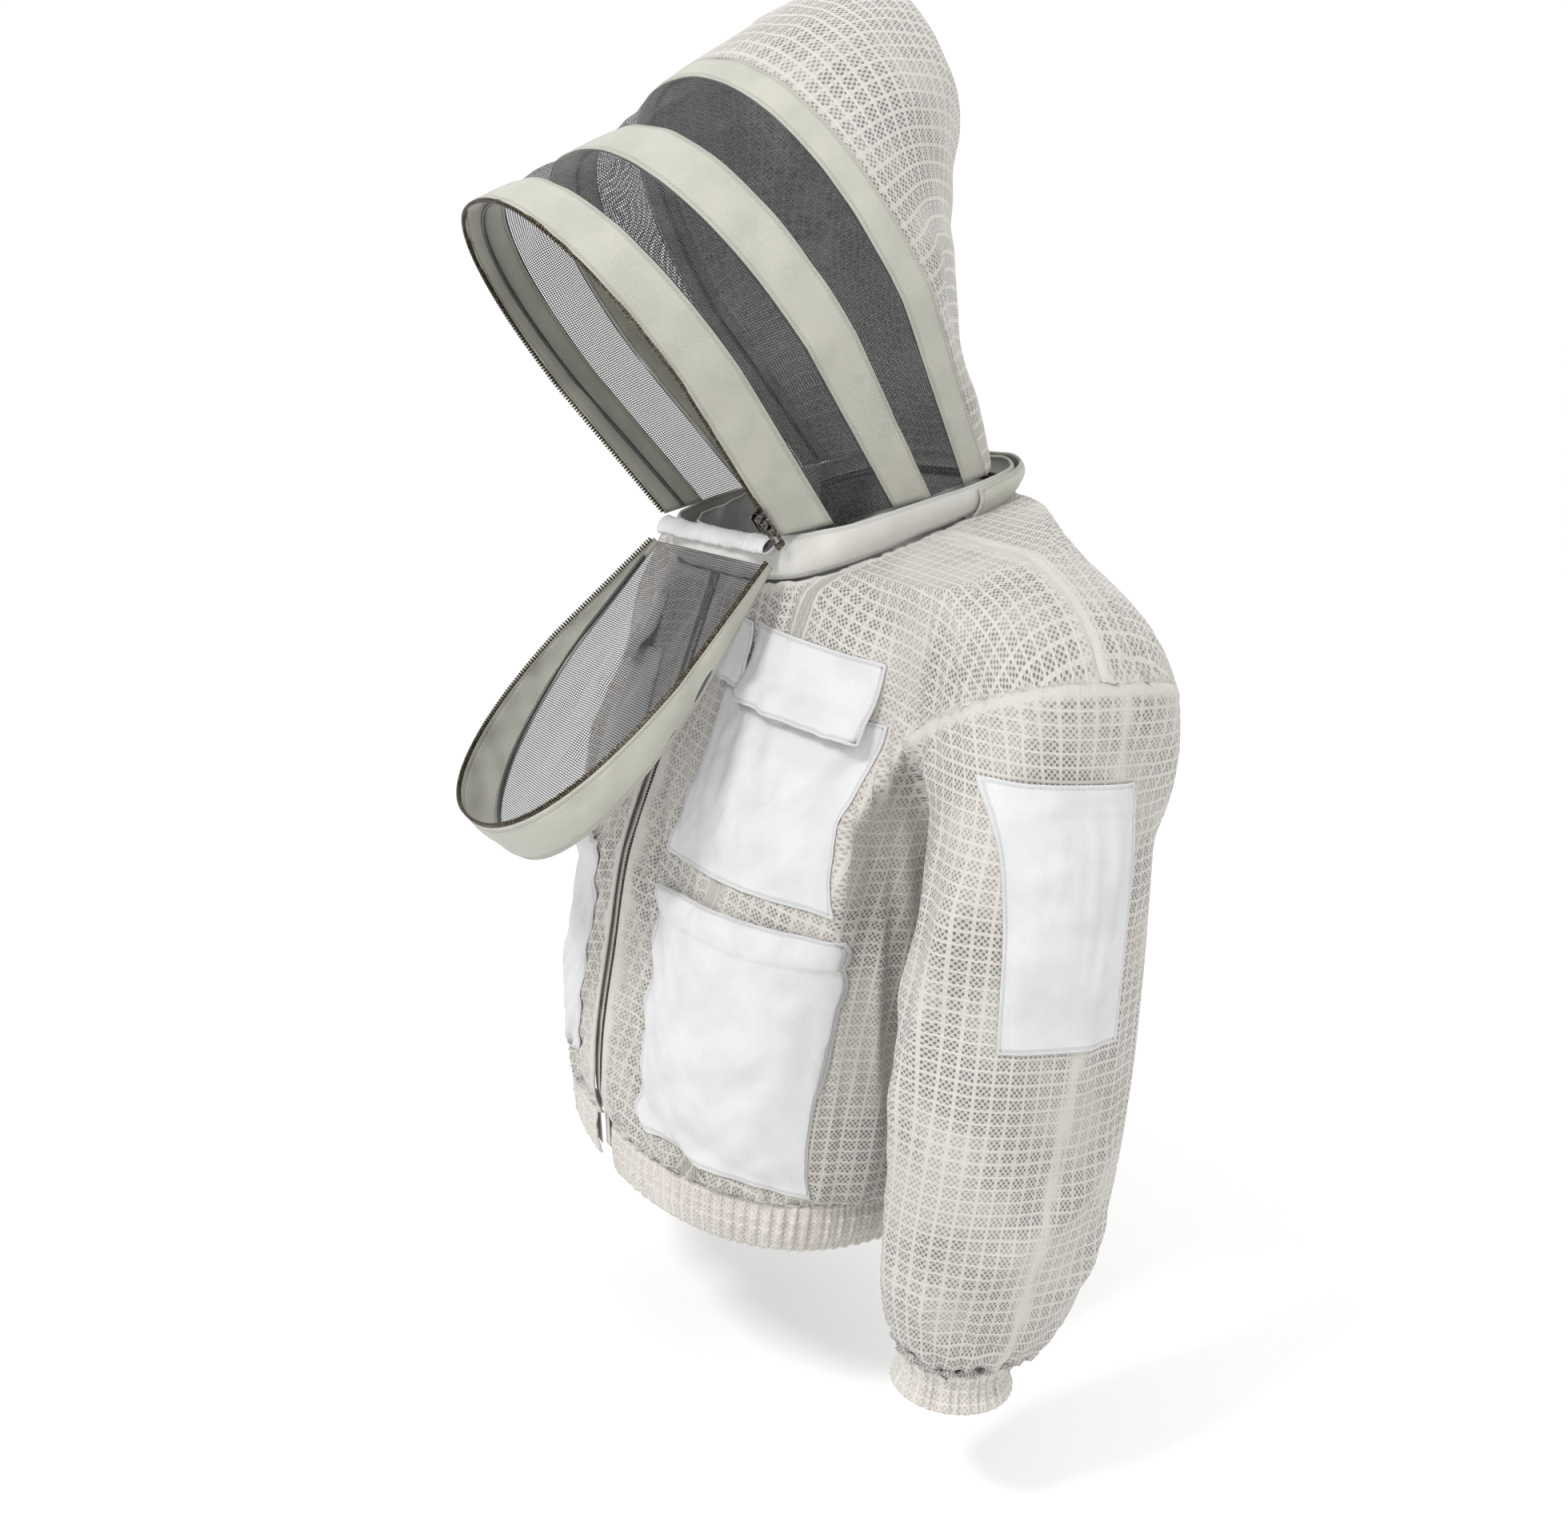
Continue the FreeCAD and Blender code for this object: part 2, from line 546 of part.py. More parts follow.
def make_veil():
    """Face veil as it hangs unzipped, its rim zip, and the slider parked on the left leg."""
    rim = HOOD["rim"]
    foot = V(0, *rim[0])
    up = V(0, *rim[1]) - foot
    up.normalize()
    forward = V(0, -up.z, up.y)
    keep("veil_zip_teeth_hood", arch_strip(rim, forward, 0, CHAIN, 0.05, CHAIN))
    pitch = math.radians(FLAP_PITCH)
    hang = V(0, -math.cos(pitch), -math.sin(pitch))
    deep = V(0, -hang.z, hang.y)
    tip = foot + hang * FLAP_LONG
    outline = (rim[0], (tip.y, tip.z), rim[2], rim[3])
    near = CHAIN + 2 * CHAIN_SPLIT
    start = foot + hang * FLAP_FOOT
    gate = placed(Part.makeBox(500, 500, 500, V(0, -250, -250)), start, hang, V(1, 0, 0))
    keep("veil_zip_teeth_flap", arch_strip(outline, deep, 0, CHAIN, near, near + CHAIN).common(gate))
    dish = math.radians(FLAP_DISH)
    floor = hang * math.cos(dish) + deep * math.sin(dish)
    low = foot + floor * FLAP_LONG
    bottom = (rim[0], (low.y, low.z), rim[2] - 1, rim[3] - 3)
    brim = deep * (near + CHAIN + 0.05)
    sole = deep * (near + CHAIN + 2.5)
    solid = loft([arch_wire(outline, 0, shift=brim), arch_wire(bottom, 0, shift=sole)], True)
    core = loft([arch_wire(outline, BAND, 14, brim), arch_wire(bottom, BAND, 14, sole)], True)
    keep("flap_band", solid.cut(core).common(gate))
    plane = V(0, -floor.z, floor.y)
    net = Part.Face(arch_wire(bottom, BAND + 0.05, shift=sole - plane * (NET + 0.2)))
    keep("flap_net", net.extrude(plane * NET).common(gate))
    wire = hoop(bottom, BAND + HOOP_R + 0.6)
    wire.translate(sole - plane * (NET + HOOP_R + 0.8))
    keep("flap_hoop", wire.common(gate.translated(hang * 20)))
    half = rim[2] - 7
    strip = box(0, FLAP_FOOT - 0.2, -half, half, 0, BAND)
    riser = box(FLAP_FOOT - 4, FLAP_FOOT - 0.2, -half, half, 0, near + CHAIN + 5)
    keep("flap_hem", placed(strip.fuse(riser).removeSplitter(), foot, hang, V(-1, 0, 0)))
    lean = (rim[3] - rim[2]) / (LEG * (V(0, *rim[1]) - foot).Length)
    run = up + V(lean, 0, 0)
    run.normalize()
    middle = foot + V(rim[2] - CHAIN / 2, 0, 0) + run * VEIL_PARK + forward * (CHAIN + CHAIN_SPLIT)
    keep("veil_zip_slider", placed(slider_shape(), middle, -run, -forward))
    keep("veil_zip_pull", placed(pull_shape(), middle, -run, -forward))


def make_nodes():
    make_body()
    make_waistband()
    make_neck()
    make_front_zip()
    make_pockets()
    make_flaps()
    make_sleeves()
    make_hood()
    make_veil()


def write_nodes():
    os.makedirs("parts", exist_ok=True)
    for name, shape in NODES.items():
        shape.exportStep(os.path.join("parts", name + ".step"))


if __name__ == "__main__":
    make_nodes()
    write_nodes()
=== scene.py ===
import math

import bmesh
import bpy
import numpy as np
from mathutils import Matrix, Vector, noise
from mathutils.bvhtree import BVHTree


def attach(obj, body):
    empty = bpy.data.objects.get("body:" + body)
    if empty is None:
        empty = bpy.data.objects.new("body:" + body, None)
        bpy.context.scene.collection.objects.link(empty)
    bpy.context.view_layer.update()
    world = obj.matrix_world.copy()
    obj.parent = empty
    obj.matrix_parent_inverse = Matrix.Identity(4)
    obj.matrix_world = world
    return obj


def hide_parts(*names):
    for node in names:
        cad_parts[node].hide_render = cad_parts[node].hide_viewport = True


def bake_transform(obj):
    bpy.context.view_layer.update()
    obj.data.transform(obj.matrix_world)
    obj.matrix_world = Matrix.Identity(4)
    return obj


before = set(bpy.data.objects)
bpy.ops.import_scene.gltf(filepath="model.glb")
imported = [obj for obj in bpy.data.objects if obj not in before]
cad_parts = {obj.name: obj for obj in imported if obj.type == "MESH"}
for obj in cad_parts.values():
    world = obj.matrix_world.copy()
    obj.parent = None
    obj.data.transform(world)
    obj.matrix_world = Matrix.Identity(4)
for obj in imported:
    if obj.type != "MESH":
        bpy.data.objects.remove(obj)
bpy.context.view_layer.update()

# Ventilated beekeeping jacket with its veil open. Metres, wearer faces -Y, wearer's left is +X.
# The section tables are in millimetres and become metres as they are read.
MM = 0.001
SIDES = ((1, "left"), (-1, "right"))

# the straight chest goes forward this much for each unit down
CHEST_LEAN = 0.3146
# neck seam: half width, front y, back y, squareness, then its level at y = 0 and its tilt
NECK = (130, -104, 110, 3.8)
NECK_LEVEL = -28
NECK_TILT = 0.38
# level and tilt of the hood hem's upper edge
HEM_FOOT = (-1, 0.31)
WAIST_SEAM = -520
CUFF_TOP = -592
CUFF_LOW = -620
CUFF_CENTRE = (298, -31)
ZIP_OPEN = 9
ZIP_TOP = -69
ZIP_LOW = -551
ZIP_DEPTH = 3.9

# level at y = 0, tilt, half width, front y (None on the straight chest), back y, squareness
TORSO = [
    (-560, 0.00, 196, -180, 66, 2.3), (-520, 0.00, 201, -184, 74, 2.3),
    (-495, 0.00, 214, -192, 86, 2.3), (-440, 0.00, 219, -192, 94, 2.4),
    (-370, 0.00, 221, -184, 100, 2.5), (-290, 0.00, 222, -174, 110, 2.6),
    (-210, 0.02, 222, None, 124, 2.6), (-150, 0.08, 225, None, 130, 2.6),
    (-112, 0.15, 223, None, 128, 2.6), (-75, 0.24, 215, None, 122, 2.7),
    (-46, 0.32, 184, None, 115, 3.1), (-28, 0.38, 130, -104, 110, 3.8),
]
# centre x, centre y, level, half size in x, half size in y
SLEEVE = [
    (252, 30, -88, 34, 58), (270, 26, -120, 58, 84), (288, 20, -160, 67, 80),
    (300, 12, -200, 66, 80), (305, 5, -260, 63, 88), (305, 3, -315, 62, 91),
    (305, 1, -376, 62, 93), (305, -4, -437, 62, 93), (303, -11, -500, 60, 90),
    (300, -19, -556, 54, 72), (298, -28, -584, 46, 50), (298, -31, -592, 42.5, 42.5),
]
# shoulder: x, centre y, top and bottom z at the middle, half size in y, squareness
YOKE = [
    (40, 22, 4, -180, 92, 2.8), (110, 24, 3, -180, 94, 2.8), (152, 26, -1, -190, 95, 2.8),
    (190, 28, -8, -205, 94, 2.8), (225, 30, -17, -220, 92, 2.8), (262, 30, -29, -235, 90, 2.7),
    (292, 30, -43, -240, 86, 2.6), (318, 30, -62, -235, 78, 2.5), (336, 28, -88, -215, 66, 2.4),
    (346, 26, -120, -180, 44, 2.3),
]
# hood outlines: foot (y, z), crown (y, z), half width at the foot, widest half width
HOOD = {
    "rim": ((-106, -30.5), (-303, 193), 104, 129),
    "front_back": ((-66, -20), (-271, 209), 116, 142),
    "mid_front": ((-22, -7), (-233, 233), 127, 155),
    "mid_back": ((8, 2), (-195, 253), 130, 162),
    "rear_front": ((38, 12), (-159, 290), 128, 168),
    "rear_back": ((62, 19), (-140, 305), 122, 170),
    "crown_1": ((76, 23.5), (-76, 352), 110, 150),
    "crown_2": ((88, 27.5), (-2, 378), 84, 112),
    "crown_3": ((96, 30), (40, 350), 48, 70),
    "seam": ((101, 31.5), (62, 300), 14, 20),
}
# hood outline: share of its height that is straight, and the squareness of its round top
LEG = 0.45
ROUND = 2.3
# hanging veil: degrees below level, length, degrees of dishing, start of its band
FLAP_PITCH = 47.5
FLAP_LONG = 300
FLAP_DISH = 8
FLAP_FOOT = 17
# how deep the band's face and back edge, the teeth and the net hang behind the hinge line
FLAP_DEPTHS = (8.0, 10.6, 6.2, 9.6)
TOOTH_PITCH = 2.6
TOOTH_HALF = (1.25, 1.4)
# sections of a tooth: share of its reach, and shares of its half width and half height
TOOTH = ((0, 0.78, 0.85), (0.55, 0.78, 0.95), (0.62, 0.5, 0.7), (1.0, 0.62, 0.8))

# x and z of the corners of the patches on the wearer's left front, from the top inner one
CHEST_POCKET = [(66, -139), (207, -154), (211, -292), (56, -276)]
CHEST_FLAP = [(84, -95), (198, -112), (198, -170), (96, -152)]
PEN_FLAP = [(50, -92), (80, -97), (92, -148), (58, -140)]
HIP_POCKET = [(62, -300), (212, -309), (202, -512), (70, -490)]
HOOK_PATCH = [(112, -148), (162, -153), (162, -164), (112, -159)]
LOOP_PATCH = [(116, -136), (166, -143), (165, -154), (115, -147)]
# front y, back y, top z and foot z of the pocket on the left sleeve
SLEEVE_POCKET = (-54, 38, -168, -346)

# armhole seam: a point on its plane and the plane's normal, which points down the sleeve
SEAM_POINT = np.array([285, 20, -116]) * MM
SEAM_NORMAL = np.array([0.46, 0.0, -0.888])
SEAM_PATH = (SEAM_POINT, SEAM_POINT + SEAM_NORMAL * 0.1)
SIDE_SEAM = 15 * MM
# y and z of the line that the shoulder cloth is measured round, on sections out to x = SECTIONS_TO
PIVOT = (0.01, -0.2)
SECTIONS_TO = 0.345
SECTIONS = 24
TURNS = 61
SLEEVE_ROUND = 0.078
ARMPIT_X = 232 * MM
VOXEL = 5.5 * MM
DRIFT_LIMIT = 15 * MM

CAMERA_PLACE = (1.151, -0.650, 0.056)
# degrees to the wearer's left of the front, degrees down and degrees of roll
CAMERA_ANGLES = (61.9, 12.1, 2.97)
LENS = 36.8


# ---- numbers
def power(value, exponent):
    """Power that keeps the sign."""
    return np.sign(value) * np.abs(value) ** exponent


def shares(count):
    return np.linspace(0, 1, count)


def turns(count):
    """Angles all the way round, without the last one."""
    return np.linspace(0, 2 * math.pi, count, endpoint=False)


def hump(share):
    """0 at both ends and 1 halfway."""
    return np.sin(math.pi * share)


def smooth(low, high, value):
    """0 below low, 1 above high and an even curve between."""
    t = np.clip((np.asarray(value, float) - low) / (high - low), 0, 1)
    return t * t * (3 - 2 * t)


def through(rows, steps):
    """Rows of numbers with steps - 1 more between each two, on Catmull-Rom curves."""
    rows = np.array(rows, float)
    padded = np.vstack([2 * rows[0] - rows[1], rows, 2 * rows[-1] - rows[-2]])
    out = []
    for k in range(len(rows) - 1):
        a, b, c, d = padded[k:k + 4]
        for t in np.arange(steps) / steps:
            out.append(0.5 * (2 * b + (c - a) * t + (2 * a - 5 * b + 4 * c - d) * t * t
                              + (3 * b - a - 3 * c + d) * t ** 3))
    return np.array(out + [rows[-1]])


def along(points, count):
    """count points evenly spaced along a polyline."""
    gaps = np.linalg.norm(np.diff(points, axis=0), axis=1)
    at = np.concatenate([[0], np.cumsum(gaps)])
    want = np.linspace(0, at[-1], count)
    return np.stack([np.interp(want, at, points[:, k]) for k in range(3)], axis=1)


def wave(points, size, seed=0.0):
    """Smooth noise in about -1 to 1 at each point, with lumps of about size metres."""
    flat = np.asarray(points, float).reshape(-1, 3)
    values = [noise.noise(Vector(p / size) + Vector((seed, 2 * seed, -seed))) for p in flat]
    return np.array(values).reshape(np.shape(points)[:-1]) * 1.6


# ---- materials
class Shader:
    """A material and short ways to add nodes to it."""

    def __init__(self, name):
        self.material = bpy.data.materials.new(name)
        self.material.use_nodes = True
        self.tree = self.material.node_tree
        self.tree.nodes.clear()

    def add(self, kind, inputs=(), **settings):
        node = self.tree.nodes.new(kind)
        for key, value in settings.items():
            setattr(node, key, value)
        for key, value in dict(inputs).items():
            if isinstance(value, bpy.types.NodeSocket):
                self.tree.links.new(value, node.inputs[key])
            else:
                node.inputs[key].default_value = value
        return node

    def math(self, operation, a, b=0.0, c=0.0):
        return self.add("ShaderNodeMath", {0: a, 1: b, 2: c}, operation=operation).outputs[0]

    def uv(self, layer):
        node = self.add("ShaderNodeUVMap", uv_map=layer)
        return self.add("ShaderNodeSeparateXYZ", {0: node.outputs[0]}).outputs

    def cosine(self, value, pitch, phase=0.0):
        return self.math("COSINE", self.math("MULTIPLY_ADD", value, 2 * math.pi / pitch, phase))

    def ramp(self, value, low, high, first=0.0, last=1.0):
        node = self.add("ShaderNodeMapRange", {0: value, 1: low, 2: high, 3: first, 4: last},
                        interpolation_type="SMOOTHSTEP")
        return node.outputs[0]

    def noise(self, size, detail=3.0, stretch=(1, 1, 1)):
        place = self.add("ShaderNodeTexCoord").outputs["Object"]
        place = self.add("ShaderNodeMapping", {0: place, 3: stretch}).outputs[0]
        node = self.add("ShaderNodeTexNoise", {"Vector": place, "Scale": 1 / size, "Detail": detail})
        return node.outputs[0]

    def mix(self, share, first, second):
        node = self.add("ShaderNodeMix", {0: share, 6: first, 7: second}, data_type="RGBA")
        return node.outputs[2]

    def bump(self, height, distance, normal=None):
        inputs = {"Height": height, "Distance": distance, "Strength": 1.0}
        if normal is not None:
            inputs["Normal"] = normal
        return self.add("ShaderNodeBump", inputs).outputs[0]

    def surface(self, colour, normal=None, alpha=None, **constants):
        inputs = {"Base Color": colour}
        inputs.update({key.replace("_", " "): value for key, value in constants.items()})
        if normal is not None:
            inputs["Normal"] = normal
        shader = self.add("ShaderNodeBsdfPrincipled", inputs).outputs[0]
        if alpha is not None:
            clear = self.add("ShaderNodeBsdfTransparent").outputs[0]
            shader = self.add("ShaderNodeMixShader", {0: alpha, 1: clear, 2: shader}).outputs[0]
        self.add("ShaderNodeOutputMaterial", {0: shader})
        return self.material


def mesh_cloth(name, colour, inner_layer_and_shade, ribs=0.0):
    """Three-layer mesh: fine staggered holes that show in clusters, on a quilted grid, each hole painted dark
    for the grey inner layer behind it and for painted shade in its depth.
    """
    s = Shader(name)
    u, v = s.uv("cloth")[:2]
    hole_wide, hole_tall = 3.8 * MM, 4.4 * MM
    cell_wide, cell_tall = 11.4 * MM, 9.2 * MM
    holes = s.math("MULTIPLY", s.cosine(u, hole_wide), s.cosine(v, hole_tall))
    holes = s.ramp(holes, 0.0, 0.42)
    rows = s.ramp(s.cosine(v, cell_tall), -0.97, -0.62)
    columns = s.ramp(s.cosine(u, cell_wide), -0.96, -0.64, 0.2, 1.0)
    cluster = s.math("MULTIPLY", columns, rows)
    pads = s.math("SUBTRACT", 1.0, cluster)
    patches = s.ramp(s.noise(60 * MM), 0.36, 0.6, 0.5, 1.0)
    plain = s.add("ShaderNodeAttribute", attribute_name="plain").outputs["Fac"]
    show = s.math("MULTIPLY", s.math("MULTIPLY", cluster, patches), s.math("SUBTRACT", 1.0, plain))
    mask = s.math("MULTIPLY", holes, show)
    warm = [c * f for c, f in zip(colour, (0.93, 0.915, 0.9))] + [1]
    tone = s.mix(s.ramp(s.noise(90 * MM, 2), 0.3, 0.7), colour, warm)
    # painted shade: hole clusters darken a little overall, and each hole takes the colour of the grey inner
    # layer deepened by painted shade
    tone = s.mix(s.math("MULTIPLY", cluster, s.ramp(show, 0.0, 1.0, 0.0, 0.16)), tone, inner_layer_and_shade)
    tone = s.mix(s.math("MULTIPLY", mask, 0.85), tone, inner_layer_and_shade)
    relief = s.math("MULTIPLY_ADD", mask, -0.5, s.math("MULTIPLY", pads, 0.3))
    relief = s.math("ADD", relief, s.math("MULTIPLY", s.cosine(u, 1.1 * MM), 0.06))
    if ribs:
        relief = s.math("MULTIPLY_ADD", s.cosine(u, ribs), 0.6, relief)
    normal = s.bump(relief, 0.8 * MM)
    return s.surface(tone, normal, Roughness=0.9, Sheen_Weight=0.25, Sheen_Roughness=0.5)


def woven(name, colour, tint, pitch, diagonal, relief, crease=0.0):
    """Woven cotton or twill with rows of stitches beside its edges."""
    s = Shader(name)
    u, v = s.uv("cloth")[:2]
    slant = s.math("MULTIPLY_ADD", v, diagonal, u)
    weave = s.math("ADD", s.cosine(slant, pitch), s.math("MULTIPLY", s.cosine(v, pitch * 0.8), 0.5))
    run, depth = s.uv("edge")[:2]
    beside = s.math("ABSOLUTE", s.math("SUBTRACT", depth, 2.6 * MM))
    line = s.ramp(beside, 0.25 * MM, 0.75 * MM, 1.0, 0.0)
    dash = s.ramp(s.cosine(run, 3.4 * MM), -0.7, -0.2)
    groove = s.ramp(beside, 0.3 * MM, 1.8 * MM, 1.0, 0.0)
    stitch = s.math("MULTIPLY", line, dash)
    tone = s.mix(s.ramp(s.noise(35 * MM, 4), 0.35, 0.7), colour, tint)
    tone = s.mix(s.math("MULTIPLY", s.ramp(s.noise(1.6 * MM, 2), 0.45, 0.75), 0.25), tone, tint)
    # painted shade: the cloth in the groove beside each stitch row is darkened, as well as pressed in by the
    # bump
    tone = s.mix(s.math("MULTIPLY", groove, 0.3), tone, [c * 0.72 for c in tint[:3]] + [1])
    height = s.math("MULTIPLY_ADD", weave, relief * 0.3, s.math("MULTIPLY", groove, -0.9))
    height = s.math("MULTIPLY_ADD", stitch, 0.8, height)
    if crease:
        height = s.math("MULTIPLY_ADD", s.noise(28 * MM, 3, (1, 1, 0.45)), crease, height)
    normal = s.bump(height, 0.5 * MM)
    return s.surface(tone, normal, Roughness=0.85, Sheen_Weight=0.2, Sheen_Roughness=0.5)


def netting(name, colour, openness):
    """Square black net, clear between its threads."""
    s = Shader(name)
    u, v = s.uv("cloth")[:2]
    pitch = 1.9 * MM
    across = s.ramp(s.math("ABSOLUTE", s.cosine(u, 2 * pitch)), openness, openness + 0.2, 1.0, 0.0)
    down = s.ramp(s.math("ABSOLUTE", s.cosine(v, 2 * pitch)), openness, openness + 0.2, 1.0, 0.0)
    threads = s.math("MAXIMUM", across, down)
    depth = s.uv("edge")[1]
    threads = s.math("MAXIMUM", threads, s.ramp(depth, 0.8 * MM, 1.6 * MM, 1.0, 0.0))
    tone = s.mix(s.ramp(s.noise(20 * MM), 0.35, 0.7), colour, [c * 1.7 for c in colour[:3]] + [1])
    normal = s.bump(s.math("ADD", across, down), 0.3 * MM)
    return s.surface(tone, normal, alpha=threads, Roughness=0.55, Sheen_Weight=0.1)


def metal(name, colour, worn, rough):
    """Oxidised metal, rubbed brighter in places."""
    s = Shader(name)
    wear = s.ramp(s.noise(2.2 * MM, 5), 0.42, 0.62)
    tone = s.mix(wear, colour, worn)
    normal = s.bump(s.noise(0.9 * MM, 3), 0.12 * MM)
    return s.surface(tone, normal, Metallic=1.0, Roughness=rough)


def wire_coat(name):
    """Black coating of the spring hoops."""
    s = Shader(name)
    tone = s.mix(s.noise(12 * MM), [0.03, 0.03, 0.032, 1], [0.07, 0.07, 0.075, 1])
    return s.surface(tone, s.bump(s.noise(1.5 * MM), 0.1 * MM), Roughness=0.45, Coat_Weight=0.2)


def ribbed(name, colour, tint, pitch):
    """Elastic with ribs along it."""
    s = Shader(name)
    u = s.uv("cloth")[0]
    tone = s.mix(s.ramp(s.noise(10 * MM), 0.4, 0.7), colour, tint)
    return s.surface(tone, s.bump(s.cosine(u, pitch), 0.4 * MM), Roughness=0.8, Sheen_Weight=0.2)


def hook_pile(name):
    """Hook and loop tape."""
    s = Shader(name)
    u, v = s.uv("cloth")[:2]
    dots = s.ramp(s.math("MULTIPLY", s.cosine(u, 2.4 * MM), s.cosine(v, 2.4 * MM)), 0.2, 0.7)
    tone = s.mix(dots, [0.62, 0.62, 0.6, 1], [0.82, 0.82, 0.8, 1])
    return s.surface(tone, s.bump(dots, 0.6 * MM), Roughness=0.6)


MATERIALS = {name: make(name, *values) for make, name, *values in (
    # the second colour of each mesh is its holes' grey inner layer deepened by painted shade
    (mesh_cloth, "vent_mesh", [0.56, 0.535, 0.50, 1], [0.10, 0.10, 0.098, 1]),
    (mesh_cloth, "gathered_mesh", [0.66, 0.625, 0.585, 1], [0.44, 0.415, 0.38, 1], 5.5 * MM),
    (woven, "cotton", [0.62, 0.62, 0.62, 1], [0.55, 0.555, 0.56, 1], 0.9 * MM, 0.0, 0.25, 1.8),
    (woven, "twill_tape", [0.46, 0.455, 0.395, 1], [0.40, 0.40, 0.35, 1], 1.5 * MM, 0.8, 0.4),
    (netting, "black_net", [0.022, 0.023, 0.028, 1], 0.46),
    (wire_coat, "hoop_wire"),
    (metal, "zip_teeth", [0.06, 0.052, 0.036, 1], [0.16, 0.135, 0.09, 1], 0.42),
    (woven, "zip_tape", [0.60, 0.59, 0.555, 1], [0.53, 0.52, 0.49, 1], 1.1 * MM, 1.0, 0.5),
    (metal, "zip_slider", [0.09, 0.085, 0.08, 1], [0.3, 0.28, 0.25, 1], 0.3),
    (ribbed, "elastic", [0.78, 0.76, 0.72, 1], [0.7, 0.68, 0.64, 1], 1.4 * MM),
    (hook_pile, "hook_tape"),
)}


# ---- making pieces
def in_scene(name, data):
    obj = bpy.data.objects.new(name, data)
    bpy.context.scene.collection.objects.link(obj)
    return obj


def surface_of(obj):
    """The object's faces, ready for rays."""
    return BVHTree.FromObject(obj, bpy.context.evaluated_depsgraph_get())


def mark_plain(mesh, values):
    """Say how plain the mesh cloth is at each point: 1 hides its holes."""
    mesh.attributes.new("plain", "FLOAT", "POINT").data.foreach_set("value", values.astype(np.float32))


def new_object(name, vertices, faces, uvs=(), plain=None, rounded=True):
    mesh = bpy.data.meshes.new(name)
    mesh.from_pydata([tuple(v) for v in vertices], [], [tuple(int(i) for i in f) for f in faces])
    for layer, values in uvs:
        target = mesh.uv_layers.new(name=layer)
        target.data.foreach_set("uv", np.asarray(values, np.float32).ravel())
    if plain is not None:
        mark_plain(mesh, plain)
    if rounded:
        mesh.shade_smooth()
    return in_scene(name, mesh)


def finished(obj, slot, body, nodes, join=None):
    """Give a piece its material and hide the CAD nodes it stands for; without a join it moves with its body,
    with one it is only baked in place.
    """
    obj.data.materials.clear()
    obj.data.materials.append(MATERIALS[slot])
    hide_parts(*nodes)
    if join is None:
        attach(obj, body)
    else:
        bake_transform(obj)
    return obj


def normals_of(grid, closed):
    """Unit normals at the points of a grid."""
    if closed:
        du = np.roll(grid, -1, axis=1) - np.roll(grid, 1, axis=1)
    else:
        du = np.gradient(grid, axis=1)
    dv = np.gradient(grid, axis=0)
    n = np.cross(du, dv)
    return n / np.maximum(np.linalg.norm(n, axis=2, keepdims=True), 1e-12)


def lengths(grid, axis, closed):
    """Running length along an axis of the grid, with one more entry round a closed ring."""
    if closed:
        grid = np.concatenate([grid, grid[:, :1]], axis=1)
    step = np.linalg.norm(np.diff(grid, axis=axis), axis=2).mean(axis=1 - axis)
    return np.concatenate([[0], np.cumsum(step)])


def slab(name, grid, thick, closed=False, stitched="rc", flip=False, wavy=None):
    """Cloth of that thickness on a grid of points, its face on the grid and its back behind it.

    stitched says which of its edges have a row of stitches: r for its first and last rows and
    c for its first and last columns.
    """
    grid = np.asarray(grid, float)
    out = normals_of(grid, closed) * (-1 if flip else 1)
    if wavy is not None:
        grid = grid + out * wavy[..., None]
        out = normals_of(grid, closed) * (-1 if flip else 1)
    rows, cols = grid.shape[:2]
    face = grid.reshape(-1, 3)
    layers = [face]
    if thick:
        layers.append((grid - out * thick).reshape(-1, 3))
    u = lengths(grid, 1, closed)
    v = lengths(grid, 0, False)
    faces = []
    spots = []
    wrap = cols if closed else cols - 1
    for layer in range(len(layers)):
        base = layer * rows * cols
        for r in range(rows - 1):
            for c in range(wrap):
                ring = [(r, c), (r, c + 1), (r + 1, c + 1), (r + 1, c)]
                if bool(layer) != flip:
                    ring.reverse()
                faces.append([base + a * cols + b % cols for a, b in ring])
                spots += ring
    if thick:
        second = rows * cols
        rims = [[(0, c + 1), (0, c)] for c in range(wrap)]
        rims += [[(rows - 1, c), (rows - 1, c + 1)] for c in range(wrap)]
        if not closed:
            rims += [[(r, 0), (r + 1, 0)] for r in range(rows - 1)]
            rims += [[(r + 1, cols - 1), (r, cols - 1)] for r in range(rows - 1)]
        for first, last in rims:
            if flip:
                first, last = last, first
            a = first[0] * cols + first[1] % cols
            b = last[0] * cols + last[1] % cols
            faces.append([a, b, b + second, a + second])
            spots += [first, last, last, first]
    spots = np.array(spots)
    cloth = np.stack([u[spots[:, 1]], v[spots[:, 0]]], axis=1)
    far = np.full(len(spots), 1.0)
    run = cloth[:, 0].copy()
    if "r" in stitched:
        far = np.minimum(cloth[:, 1], v[-1] - cloth[:, 1])
    if "c" in stitched:
        side = np.minimum(cloth[:, 0], u[-1] - cloth[:, 0])
        run = np.where(side < far, cloth[:, 1], run)
        far = np.minimum(far, side)
    edge = np.stack([run, far], axis=1)
    return new_object(name, np.concatenate(layers), faces, [("cloth", cloth), ("edge", edge)])


def apply_modifiers(obj):
    graph = bpy.context.evaluated_depsgraph_get()
    mesh = bpy.data.meshes.new_from_object(obj.evaluated_get(graph), preserve_all_data_layers=True,
                                           depsgraph=graph)
    old = obj.data
    obj.modifiers.clear()
    obj.data = mesh
    bpy.data.meshes.remove(old)


